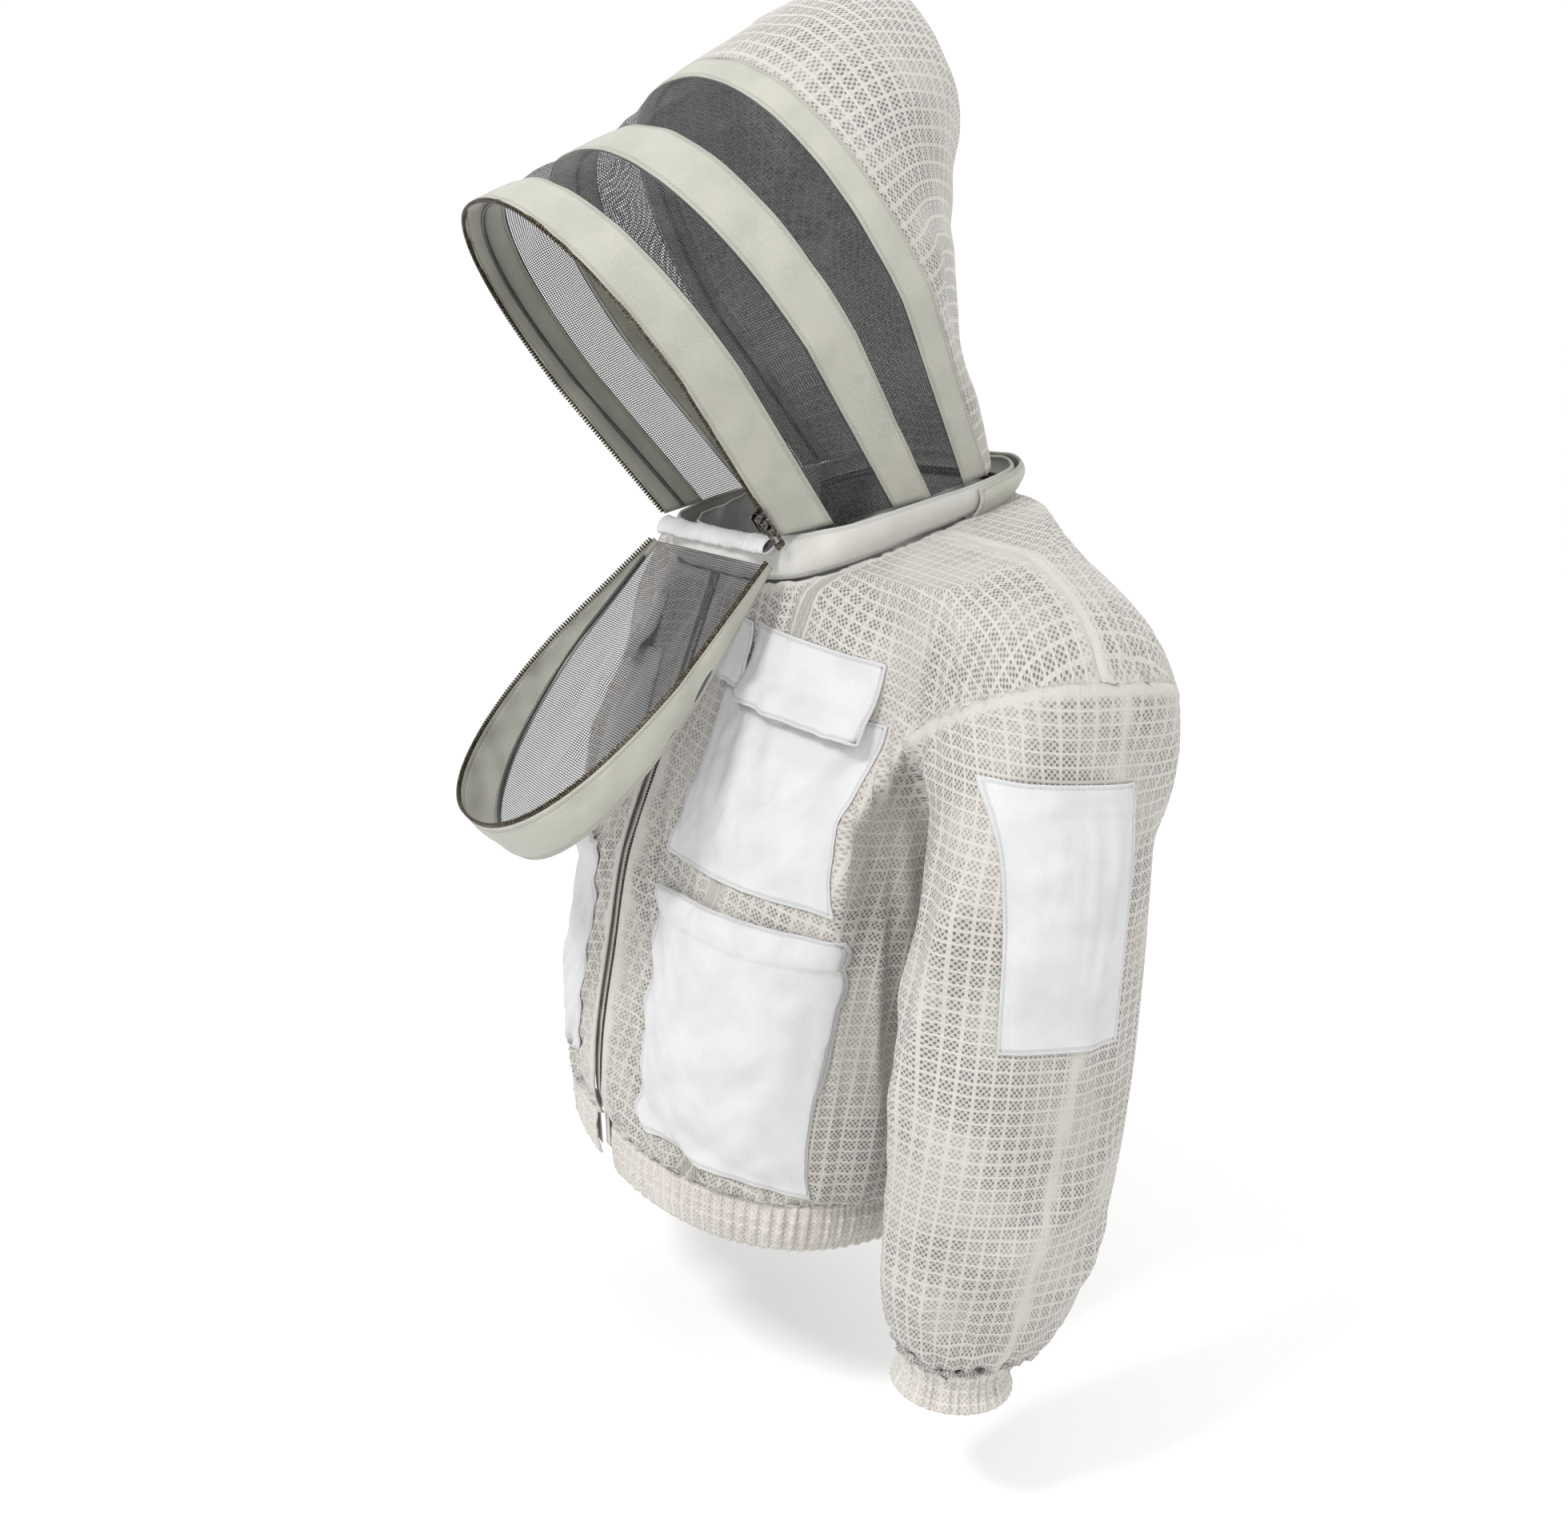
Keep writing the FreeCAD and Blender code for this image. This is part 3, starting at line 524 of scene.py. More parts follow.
def with_modifier(obj, kind, **settings):
    modifier = obj.modifiers.new(kind.lower(), kind)
    for key, value in settings.items():
        setattr(modifier, key, value)
    bpy.context.view_layer.update()
    apply_modifiers(obj)


def points_of(obj, what="co"):
    flat = np.empty(len(obj.data.vertices) * 3)
    obj.data.vertices.foreach_get(what, flat)
    return flat.reshape(-1, 3)


def set_points(obj, points):
    obj.data.vertices.foreach_set("co", points.ravel())
    obj.data.update()


# ---- jacket body
def torso_rows():
    """The body's sections in metres, with the straight chest's depth worked out."""
    top = NECK_LEVEL + NECK_TILT * NECK[1]
    rows = []
    for level, tilt, half, front, back, square in TORSO:
        if front is None:
            front = (NECK[1] - CHEST_LEAN * (top - level)) / (1 - CHEST_LEAN * tilt)
        rows.append((level * MM, tilt, half * MM, front * MM, back * MM, square))
    return np.array(rows)


TORSO_ROWS = torso_rows()


def oval(count, square):
    """Two coordinates, each from -1 to 1, of points round a rounded square."""
    t = 2 * math.pi * np.arange(count) / count
    return power(np.cos(t), 2 / square), power(np.sin(t), 2 / square)


def ring(row, grow=0.0, count=96):
    """Level section of the body."""
    level, tilt, half, front, back, square = row
    a, b = oval(count, square)
    y = (front + back) / 2 + ((back - front) / 2 + grow) * b
    return np.stack([(half + grow) * a, y, level + tilt * y], axis=1)


def sleeve_ring(row, side, grow=0.0, count=64):
    """Level section of a sleeve."""
    x, y, level, half_x, half_y = row
    a, b = oval(count, 2)
    across = side * (x + (half_x + grow) * a)
    return np.stack([across, y + (half_y + grow) * b, np.full(count, level)], axis=1)


def yoke_ring(row, side, grow=0.0, count=64):
    """Upright section of a shoulder, across the wearer's width."""
    x, y, high, low, half_y, square = row
    a, b = oval(count, square)
    tilt = 0.3 * smooth(0.24, 0.12, x) * half_y * a
    level = (high + low) / 2 + ((high - low) / 2 + grow) * b + tilt
    return np.stack([np.full(count, side * x), y + (half_y + grow) * a, level], axis=1)


def add_loft(bm, rings):
    """Closed solid through rings of points."""
    levels = [[bm.verts.new(p) for p in points] for points in rings]
    for low, high in zip(levels, levels[1:]):
        for k in range(len(low)):
            n = (k + 1) % len(low)
            bm.faces.new((low[k], low[n], high[n], high[k]))
    bm.faces.new(levels[0])
    bm.faces.new(levels[-1])


def shell_solid(name, grow, voxel):
    """Torso, sleeves and sleeve heads as one skin, before its ends are cut off."""
    reach = 30 * MM
    bm = bmesh.new()
    rows = through(TORSO_ROWS, 4)
    rows = np.vstack([rows[0] - [reach, 0, 0, 0, 0, 0], rows, rows[-1] + [reach, 0, 0, 0, 0, 0]])
    add_loft(bm, [ring(row, grow) for row in rows])
    tube = through(np.array(SLEEVE) * MM, 4)
    tube = np.vstack([tube, tube[-1] - [0, 0, reach, 0, 0]])
    for side in (1, -1):
        add_loft(bm, [sleeve_ring(row, side, grow) for row in tube])
        rows = through(np.array(YOKE) * ([MM] * 5 + [1]), 4)
        add_loft(bm, [yoke_ring(row, side, grow) for row in rows])
    bmesh.ops.recalc_face_normals(bm, faces=bm.faces)
    mesh = bpy.data.meshes.new(name)
    bm.to_mesh(mesh)
    bm.free()
    obj = in_scene(name, mesh)
    with_modifier(obj, "REMESH", mode="VOXEL", voxel_size=voxel)
    with_modifier(obj, "SMOOTH", factor=0.5, iterations=8)
    points = points_of(obj)
    around = neck_share(points)
    under = -neck_gap(points) + 2 * MM + 0.06 * np.maximum(around - 1, 0) * NECK[0] * MM
    high = (around > 1.01) & (under > 0)
    points[high, 2] -= under[high]
    set_points(obj, points)
    return obj


def cut_ends(obj):
    """Open the skin at the neck, the waist and both cuffs."""
    bm = bmesh.new()
    bm.from_mesh(obj.data)

    def cut(level, normal, only):
        """Remove what is past a plane from the elements whose points all pass the test."""
        keep = []
        for g in bm.verts[:] + bm.edges[:] + bm.faces[:]:
            verts = [g] if isinstance(g, bmesh.types.BMVert) else g.verts
            if all(only(v.co) for v in verts):
                keep.append(g)
        bmesh.ops.bisect_plane(bm, geom=keep, plane_co=(0, 0, level * MM), plane_no=normal, clear_outer=True)

    cut(NECK_LEVEL - 1, (0, -NECK_TILT, 1), lambda p: True)
    cut(WAIST_SEAM, (0, 0, -1), lambda p: abs(p.x) < ARMPIT_X and p.z < -0.4)
    cut(CUFF_TOP, (0, 0, -1), lambda p: abs(p.x) > ARMPIT_X and p.z < -0.5)
    bmesh.ops.remove_doubles(bm, verts=bm.verts, dist=1.4 * MM)
    bm.to_mesh(obj.data)
    bm.free()


def snap(points, distance, near, reach):
    """Move the points that are within reach of a plane, along near, onto it."""
    close = np.abs(distance) < reach
    points[close] -= np.outer(distance[close], near)


def seam_distance(points):
    """How far points are down the sleeve from the armhole seam, on either side."""
    even = points * [1, 1, 1]
    even[:, 0] = np.abs(even[:, 0])
    return (even - SEAM_POINT) @ SEAM_NORMAL


def is_sleeve(points):
    """Which points are down the sleeve from the armhole seam."""
    return (seam_distance(points) > 0) & (np.abs(points[:, 0]) > ARMPIT_X)


def simulate(obj, body, pins, frames):
    """Let the skin slump and wrinkle over the body inside it, held at its sewn edges."""
    group = obj.vertex_groups.new(name="sewn")
    for index in np.nonzero(pins > 0)[0]:
        group.add([int(index)], float(pins[index]), "REPLACE")
    cloth = obj.modifiers.new("cloth", "CLOTH")
    physics = {"quality": 6, "mass": 0.25, "air_damping": 2.0, "shrink_min": -0.045,
               "tension_stiffness": 18, "compression_stiffness": 18, "shear_stiffness": 8,
               "bending_stiffness": 0.6, "tension_damping": 8, "compression_damping": 8,
               "shear_damping": 8, "vertex_group_mass": "sewn"}
    for key, value in physics.items():
        setattr(cloth.settings, key, value)
    cloth.collision_settings.distance_min = 1.5 * MM
    cloth.collision_settings.use_self_collision = False
    cloth.point_cache.frame_start = 1
    cloth.point_cache.frame_end = frames
    body.modifiers.new("collision", "COLLISION")
    body.collision.thickness_outer = 1 * MM
    body.collision.cloth_friction = 8
    for step in range(1, frames + 1):
        bpy.context.scene.frame_set(step)
    apply_modifiers(obj)
    bpy.context.scene.frame_set(1)


def fold_height(points, line, width, height):
    """Height of a rounded fold that runs along a line of points."""
    best = np.full(len(points), 1e9)
    line = np.array(line, float) * MM
    for a, b in zip(line, line[1:]):
        d = b - a
        t = np.clip(((points - a) @ d) / (d @ d), 0, 1)
        best = np.minimum(best, np.linalg.norm(points - a - np.outer(t, d), axis=1))
    ends = np.minimum(np.linalg.norm(points - line[0], axis=1), np.linalg.norm(points - line[-1], axis=1))
    fade = smooth(0, 45 * MM, ends)
    return height * MM * np.exp(-(best / (width * MM)) ** 2) * (0.35 + 0.65 * fade)


# folds of the worn jacket on its left half: points, width and height, all in millimetres
FOLD_DEPTH = 1.75
FOLDS = [
    ([(222, -62, -150), (200, -92, -215), (206, -98, -290)], 12, 13),
    ([(214, -78, -135), (182, -112, -180), (150, -140, -230)], 10, 5),
    ([(262, -66, -170), (262, -84, -250), (282, -88, -350)], 12, 10),
    ([(240, -50, -190), (248, -40, -270), (262, -62, -360)], 10, -10),
    ([(330, -62, -210), (320, -82, -300), (296, -90, -420)], 13, 6),
    ([(360, 40, -420), (352, -30, -480), (330, -80, -520)], 12, 6),
    ([(350, 60, -480), (345, -10, -540), (318, -60, -565)], 10, 5),
    ([(250, -60, -400), (262, -90, -460), (290, -96, -500)], 10, -4),
    ([(40, -176, -292), (120, -172, -300), (200, -110, -312), (218, -20, -322)], 9, 4),
    ([(200, 60, -180), (205, 90, -250), (190, 100, -330)], 11, 6),
    ([(222, 70, -160), (180, 112, -200), (120, 124, -250)], 12, 5),
    ([(280, 100, -190), (275, 92, -290), (290, 96, -380)], 12, 5),
    ([(60, 96, -430), (120, 90, -470), (180, 70, -500)], 10, 5),
    ([(40, 106, -330), (110, 104, -350), (190, 84, -380)], 12, 4),
]


def jacket_skin():
    """Skin of the jacket with its seams and zip edges on straight lines, and its points."""
    skin = shell_solid("jacket_skin", 0.0, VOXEL)
    cut_ends(skin)
    rest = points_of(skin)
    arms = np.abs(rest[:, 0]) > ARMPIT_X - VOXEL
    for side in (1, -1):
        distance = np.where(arms & (side * rest[:, 0] > 0), seam_distance(rest), 1.0)
        snap(rest, distance, SEAM_NORMAL * [side, 1, 1], VOXEL / 2)
    for side in (1, -1):
        distance = np.where(rest[:, 1] < 0, rest[:, 0] - side * ZIP_OPEN * MM, 1.0)
        snap(rest, distance, np.array([1.0, 0, 0]), VOXEL / 2)
    body_side = (np.abs(rest[:, 0]) < ARMPIT_X) & (rest[:, 2] < -0.16)
    snap(rest, np.where(body_side, rest[:, 1] - SIDE_SEAM, 1.0), np.array([0, 1.0, 0]), VOXEL / 2)
    set_points(skin, rest)
    return skin, rest


def neck_share(points):
    """Distance from the neck's middle as a share of the neck outline."""
    middle, half = (NECK[1] + NECK[2]) / 2 * MM, (NECK[2] - NECK[1]) / 2 * MM
    x, y = np.abs(points[:, 0] / (NECK[0] * MM)), np.abs((points[:, 1] - middle) / half)
    return (x ** NECK[3] + y ** NECK[3]) ** (1 / NECK[3])


def neck_gap(points):
    """Distance below the neck seam."""
    return NECK_LEVEL * MM + NECK_TILT * points[:, 1] - points[:, 2]


def heights(rest):
    """Which points are on a sleeve, and each one's height over the waist and the cuff seam."""
    sleeve = is_sleeve(rest)
    waist = np.where(sleeve, 1.0, rest[:, 2] - WAIST_SEAM * MM)
    cuff = np.where(sleeve, rest[:, 2] - CUFF_TOP * MM, 1.0)
    return sleeve, waist, cuff


def slumped(skin, rest):
    """The skin's points after the cloth has slumped over its wearer's shape."""
    _, waist, cuff = heights(rest)
    front = (np.abs(rest[:, 0]) < 16 * MM) & (rest[:, 1] < 0)
    pins = np.maximum.reduce([neck_gap(rest) < 9 * MM, waist < 4 * MM, cuff < 4 * MM, front])
    shape = rest + points_of(skin, "normal") * (wave(rest, 50 * MM, 3.0) * 2.0 * MM * (~pins))[:, None]
    set_points(skin, shape)
    body = shell_solid("wearer_stand_in", -11 * MM, 9 * MM)
    simulate(skin, body, pins.astype(float), 24)
    bpy.data.objects.remove(body)
    drift = points_of(skin) - rest
    far = np.linalg.norm(drift, axis=1)
    return rest + drift * np.minimum(1, DRIFT_LIMIT / np.maximum(far, 1e-9))[:, None]


def relief(rest):
    """How far folds, gathers and seams stand out from the slumped cloth."""
    sleeve, waist, cuff = heights(rest)
    lift = np.zeros(len(rest))
    for side, _ in SIDES:
        half = rest * [side, 1, 1]
        here = half[:, 0] > 0
        for line, width, height in FOLDS:
            lift += np.where(here, fold_height(half, line, width, height * FOLD_DEPTH), 0)
    free = smooth(0, 30 * MM, np.minimum.reduce([neck_gap(rest), waist, cuff]))
    lift *= free * smooth(12 * MM, 40 * MM, np.where(rest[:, 1] < 0, np.abs(rest[:, 0]), 1.0))
    angle = np.arctan2(rest[:, 0], -(rest[:, 1] + 55 * MM))
    gathers = np.sin(angle * 46 + 2 * wave(rest, 30 * MM, 1.0)) + 0.5 * wave(rest, 12 * MM, 8.0)
    lift += np.where(sleeve, 0, 2.4 * MM * gathers * np.exp(-np.abs(waist) / (26 * MM)))
    arm = np.arctan2(rest[:, 1] - CUFF_CENTRE[1] * MM, np.abs(rest[:, 0]) - CUFF_CENTRE[0] * MM)
    gathers = np.sin(arm * 17 + 1.5 * wave(rest, 25 * MM, 5.0))
    lift += np.where(sleeve, 3.0 * MM * gathers * np.exp(-np.abs(cuff) / (34 * MM)), 0)
    return lift + 0.9 * MM * seam_mask(rest)


def seam_mask(rest):
    """1 on the felled seams, hems and zip facings of the jacket, 0 on open mesh."""
    sleeve = is_sleeve(rest)
    wide = np.abs(rest[:, 0])

    def strip(distance, half, where):
        return np.where(where, 1 - smooth(half * MM, (half + 3) * MM, np.abs(distance)), 0)
    armhole = strip(seam_distance(rest) - 4 * MM, 3.5, wide > ARMPIT_X - 6 * MM)
    sleeve_seam = strip(rest[:, 1] - 22 * MM - 0.12 * (rest[:, 2] + 0.2), 2.5, sleeve & (wide > 0.3))
    side_seam = strip(rest[:, 1] - SIDE_SEAM, 5, ~sleeve & (wide > 0.12))
    facing = strip(wide, 18, rest[:, 1] < 0)
    neck = strip(neck_gap(rest), 6, neck_share(rest) < 1.05)
    hem = strip(rest[:, 2] - WAIST_SEAM * MM, 5, ~sleeve)
    return np.maximum.reduce([armhole, sleeve_seam, side_seam, facing, neck, hem])


def meridians(skin):
    """Length of cloth from the top of the shoulder down the front and back, on sections across x."""
    tree = surface_of(skin)
    table = np.zeros((SECTIONS, TURNS))
    for c, x in enumerate(np.linspace(0, SECTIONS_TO, SECTIONS)):
        spots = []
        for turn in np.linspace(-math.pi / 2, math.pi / 2, TURNS):
            way = Vector((0, math.sin(turn), math.cos(turn)))
            start = Vector((x, PIVOT[0], PIVOT[1]))
            hit = tree.ray_cast(start + way * 0.6, -way)[0]
            spots.append(hit if hit else start + way * 0.1)
        steps = [(b - a).length for a, b in zip(spots, spots[1:])]
        table[c] = np.concatenate([[0], np.cumsum(np.minimum(steps, 0.02))])
        table[c] -= table[c, TURNS // 2]
    return table


def meridian_length(table, points):
    """Signed length of cloth from the shoulder line, on the front negative."""
    turn = np.arctan2(points[:, 1] - PIVOT[0], np.maximum(points[:, 2] - PIVOT[1], 1e-4))
    column = np.clip(np.abs(points[:, 0]) / SECTIONS_TO * (SECTIONS - 1), 0, SECTIONS - 1.001)
    row = np.clip((turn + math.pi / 2) / math.pi * (TURNS - 1), 0, TURNS - 1.001)
    c, r = column.astype(int), row.astype(int)
    s, t = column - c, row - r
    near = table[c, r] * (1 - t) + table[c, r + 1] * t
    far = table[c + 1, r] * (1 - t) + table[c + 1, r + 1] * t
    return near * (1 - s) + far * s


def cloth_uv(rest, sleeve, back, table):
    """Position on the flat cloth, in metres, of points on the body or the sleeves."""
    wide = np.abs(rest[:, 0])
    if sleeve:
        rows = np.array(SLEEVE)[::-1] * MM
        cx, cy = [np.interp(rest[:, 2], rows[:, 2], rows[:, k]) for k in (0, 1)]
        return np.arctan2(rest[:, 1] - cy, wide - cx) * SLEEVE_ROUND, rest[:, 2]
    half, front, rear = [np.interp(rest[:, 2], TORSO_ROWS[:9, 0], TORSO_ROWS[:9, k]) for k in (2, 3, 4)]
    round_ring = ring((0, 0, 0.222, -0.142, 0.142, 2.6), count=400)[:101]
    lengths_at = np.concatenate([[0], np.cumsum(np.linalg.norm(np.diff(round_ring, axis=0), axis=1))])
    a = np.minimum(wide / half, 1)
    b = (rest[:, 1] - (front + rear) / 2) / ((rear - front) / 2)
    turn = np.arctan2(np.abs(b) ** 1.3, np.maximum(a, 1e-6) ** 1.3)
    around = lengths_at[-1] - np.interp(turn, np.linspace(0, math.pi / 2, 101), lengths_at)
    u = np.where((b < 0) ^ back, around, 2 * lengths_at[-1] - around)
    u = u + (wide * 1.06 - u) * smooth(-0.19, -0.12, rest[:, 2])
    down = meridian_length(table, rest) * (1 if back else -1)
    low = PIVOT[1] - rest[:, 2]
    return u * np.sign(rest[:, 0]), np.where(low > 0, -low * 1.04, 0) - down


def panel(name, skin, shape, rest, chosen, sleeve, back, table, thick=1.6 * MM):
    """One cloth piece made of the chosen faces of the skin."""
    polygons = [p.vertices[:] for p, c in zip(skin.data.polygons, chosen) if c]
    used = np.unique(np.concatenate(polygons))
    index = np.full(len(rest), -1)
    index[used] = np.arange(len(used))
    u, v = cloth_uv(rest[used], sleeve, back, table)
    uv = []
    for polygon in polygons:
        spots = index[list(polygon)]
        us = u[spots]
        if sleeve and us.max() - us.min() > 0.2:
            us = np.where(us < 0, us + 2 * math.pi * SLEEVE_ROUND, us)
        uv += list(zip(us, v[spots]))
    far = [(a, 1.0) for a, _ in uv]
    obj = new_object(name, shape[used], [index[list(p)] for p in polygons],
                     [("cloth", uv), ("edge", far)], seam_mask(rest[used]))
    with_modifier(obj, "SOLIDIFY", thickness=thick, offset=-1)
    return obj


def make_jacket():
    skin, rest = jacket_skin()
    table = meridians(skin)
    set_points(skin, slumped(skin, rest))
    shape = points_of(skin) + points_of(skin, "normal") * relief(rest)[:, None]
    set_points(skin, shape)
    middles = np.array([rest[list(p.vertices)].mean(axis=0) for p in skin.data.polygons])
    sleeve = is_sleeve(middles)
    front = middles[:, 1] < SIDE_SEAM
    gap = front & (np.abs(middles[:, 0]) < ZIP_OPEN * MM)
    for side, word in SIDES:
        here = middles[:, 0] * side > 0
        chosen = here & front & ~sleeve & ~gap
        piece = panel("jacket_front_" + word, skin, shape, rest, chosen, False, False, table)
        finished(piece, "vent_mesh", "jacket", ["front_panel_" + word])
        piece = panel("arm_" + word, skin, shape, rest, here & sleeve, True, False, table)
        turned = [tuple(p * [side, 1, 1]) for p in SEAM_PATH]
        finished(piece, "vent_mesh", "jacket", ["sleeve_" + word], ("sleeve_" + word, *turned))
    piece = panel("jacket_back", skin, shape, rest, ~front & ~sleeve, False, True, table)
    finished(piece, "vent_mesh", "jacket", ["back_panel"])
    return skin, surface_of(skin)


# ---- pieces laid on the jacket
def front_hit(tree, x, z):
    """Where a ray from the front meets a surface."""
    return tree.ray_cast(Vector((x, -0.5, z)), Vector((0, 1, 0)))[0]


def laid(tree, corners, across, down, side=1, lift=1.0 * MM, calm=16):
    """Grid over four (x, z) corners in millimetres, laid on the front of the jacket."""
    quad = np.array(corners, float) * MM
    grid = np.empty((down, across, 3))
    for r in range(down):
        for c in range(across):
            s = c / (across - 1)
            t = r / (down - 1)
            x, z = (quad[0] * (1 - s) + quad[1] * s) * (1 - t) + (quad[3] * (1 - s) + quad[2] * s) * t
            hit = front_hit(tree, side * x, z)
            grid[r, c] = (side * x, hit.y if hit else grid[r, c - 1, 1], z)
    return calmed(grid, 1, -1, lift, calm)


def calmed(grid, axis, sign, lift, rounds):
    """Even out one coordinate of a grid while it stays outside what it lies on."""
    least = grid[..., axis] * sign + lift
    level = least.copy()
    for _ in range(rounds):
        level[1:-1] = 0.5 * level[1:-1] + 0.25 * (level[2:] + level[:-2])
        level[:, 1:-1] = 0.5 * level[:, 1:-1] + 0.25 * (level[:, 2:] + level[:, :-2])
        level = np.maximum(level, least)
    grid = grid.copy()
    grid[..., axis] = level * sign
    return grid


def pocket_stand(grid, puff, hem, seed):
    """How far a patch pocket stands off the cloth: sewn down on three sides, slack at the mouth."""
    down, across = grid.shape[:2]
    s = shares(across)[None, :]
    t = shares(down)[:, None]
    side = smooth(0.0, 0.22, np.minimum(s, 1 - s))
    foot = smooth(0.0, 0.2, 1 - t)
    stand = puff * side * foot * (0.45 + 0.55 * np.sin(math.pi * np.clip(t, 0, 1)) ** 0.6)
    stand = stand + wave(grid * [1, 1, 0.5], 38 * MM, seed) * 1.6 * MM * np.minimum(side, foot)
    slanted = grid @ np.array([[1, 0, 0.8], [0, 1, 0], [-0.8, 0, 1]]) * [2.2, 1, 0.7]
    stand = stand + wave(slanted, 40 * MM, seed + 3) * 1.3 * MM * side
    tall = np.linalg.norm(grid[-1, 0] - grid[0, 0])
    fold = smooth(hem + 0.9 * MM, hem - 0.9 * MM, t * tall) if hem else 0
    ease = 0.6 * MM * smooth(0, 3 * MM, t * tall)
    return np.maximum(stand, 0) + 0.9 * MM * fold + ease


def make_pockets(tree):
    for side, word in SIDES:
        for label, corners, puff, hem, tall in (("chest", CHEST_POCKET, 6, 0, 0.15),
                                                ("hip", HIP_POCKET, 7.5, 21, 0.2)):
            grid = laid(tree, corners, 80, 96, side)
            stand = pocket_stand(grid, puff * MM, hem * MM, side * 2.0 + tall * 10)
            piece = slab("%s_patch_%s" % (label, word), grid, 1.1 * MM, flip=side > 0, wavy=stand)
            finished(piece, "cotton", "jacket", ["%s_pocket_%s" % (label, word)])
            if label == "chest":
                make_flap(tree, piece, side, word)


def make_flap(tree, pocket, side, word):
    """Chest pocket flap with its loop tape, and the hook tape under it on the pocket."""
    down, across = 34, 60
    top = laid(tree, CHEST_FLAP, across, down, side, lift=1.5 * MM, calm=20)
    under = surface_of(pocket)
    t = shares(down)[:, None]
    s = shares(across)[None, :]
    for r in range(down):
        for c in range(across):
            x, y, z = top[r, c]
            hit = front_hit(under, x, z)
            if hit:
                top[r, c, 1] = min(y, hit.y - 1.6 * MM)
    top = calmed(top, 1, -1, 0.0, 30)
    swing = 7 * MM * smooth(0.1, 1.0, t) + 2.5 * MM * smooth(0.75, 1, s) * t
    swing = swing + wave(top, 45 * MM, 4.0 * side) * 1.4 * MM * t
    piece = slab("chest_flap_cloth_" + word, top, 1.3 * MM, flip=side > 0, wavy=swing + 0.2 * MM)
    bend = ("chest_flap_" + word, Vector((side * 0.140, -0.1, -0.104)), Vector((side * 0.146, -0.1, -0.124)))
    finished(piece, "cotton", "jacket", ["chest_flap_" + word], bend)
    back = surface_of(piece)
    grid = laid(back, LOOP_PATCH, 24, 8, side, lift=-1.5 * MM, calm=0)
    loop = slab("loop_patch_" + word, grid, 0.7 * MM, flip=side > 0)
    finished(loop, "hook_tape", "jacket", ["flap_loop_tape_" + word], bend)
    grid = laid(under, HOOK_PATCH, 24, 8, side, lift=0.5 * MM, calm=0)
    hook = slab("hook_patch_" + word, grid, 0.7 * MM, flip=side > 0)
    finished(hook, "hook_tape", "jacket", ["pocket_hook_tape_" + word])


def make_pen_flap(tree):
    """Narrow loose flap beside the left chest flap."""
    grid = laid(tree, PEN_FLAP, 24, 40, lift=2.5 * MM, calm=20)
    t = shares(40)[:, None]
    sway = 9 * MM * smooth(0.1, 1, t) + wave(grid, 30 * MM, 7.0) * 1.2 * MM * t
    piece = slab("pen_flap_cloth", grid, 1.3 * MM, wavy=sway, flip=True)
    finished(piece, "cotton", "jacket", ["pen_flap"],
             ("pen_flap", Vector((0.067, -0.12, -0.1)), Vector((0.068, -0.12, -0.118))))


def make_sleeve_pocket(sleeve):
    """Long patch pocket on the outside of the left sleeve."""
    tree = surface_of(sleeve)
    front, rear, top, foot = SLEEVE_POCKET
    down, across = 100, 56
    grid = np.empty((down, across, 3))
    for r in range(down):
        for c in range(across):
            y = (front + (rear - front) * c / (across - 1)) * MM
            z = (top + (foot - top) * r / (down - 1)) * MM
            hit = tree.ray_cast(Vector((0.6, y, z)), Vector((-1, 0, 0)))[0]
            grid[r, c] = (hit.x, y, z)
    grid = calmed(grid, 0, 1, 1.0 * MM, 8)
    stand = pocket_stand(grid, 4.5 * MM, 20 * MM, 9.0)
    piece = slab("sleeve_patch", grid, 1.1 * MM, wavy=stand, flip=True)
    finished(piece, "cotton", "jacket", ["sleeve_pocket"],
             ("sleeve_left", *(tuple(p) for p in SEAM_PATH)))


# ---- gathered bands
def gathered(points, count, seed, deep):
    """Ripple for a gathered band: count pleats round a ring, uneven in width and depth."""
    turn = turns(points.shape[1])
    drift = wave(points, 45 * MM, seed)
    pleat = np.sin(count * turn[None, :] + 2.2 * drift)
    pleat = np.sign(pleat) * np.abs(pleat) ** 0.7
    uneven = 0.7 + 0.5 * wave(points, 25 * MM, seed + 2)
    return deep * (pleat * uneven + 0.35 * wave(points, 9 * MM, seed + 5))


def make_waistband():
    """Gathered band in three channels, with its elastic inside."""
    low, high = TORSO_ROWS[0], TORSO_ROWS[1]
    around = 720
    centre_front = around * 3 // 4
    gap = 6
    down = shares(18)
    grid = np.array([ring(high + (low - high) * t, grow=1.0 * MM + 3.5 * MM * hump(t) ** 0.6,
                          count=around) for t in down])
    channel = np.cos(2 * math.pi * down * 3)[:, None]
    calm = 0.3 + 0.7 * hump(down)[:, None]
    wavy = gathered(grid, 96, 2.0, 2.0 * MM) * (0.75 + 0.25 * channel) * calm + 0.5 * MM * channel
    grid, wavy = [np.roll(values, -centre_front, axis=1)[:, gap:-gap] for values in (grid, wavy)]
    piece = slab("waistband_cloth", grid, 1.4 * MM, wavy=wavy, flip=True)
    finished(piece, "gathered_mesh", "jacket", ["waistband"])
    inside = -3.2 * MM
    grid = np.array([ring(high + (low - high) * t, inside, around // 2) for t in (0.1, 0.5, 0.9)])
    grid = np.roll(grid, -centre_front // 2, axis=1)[:, 5:-5]
    finished(slab("waist_elastic_band", grid, 1.0 * MM, flip=True), "elastic", "jacket", ["waist_elastic"])


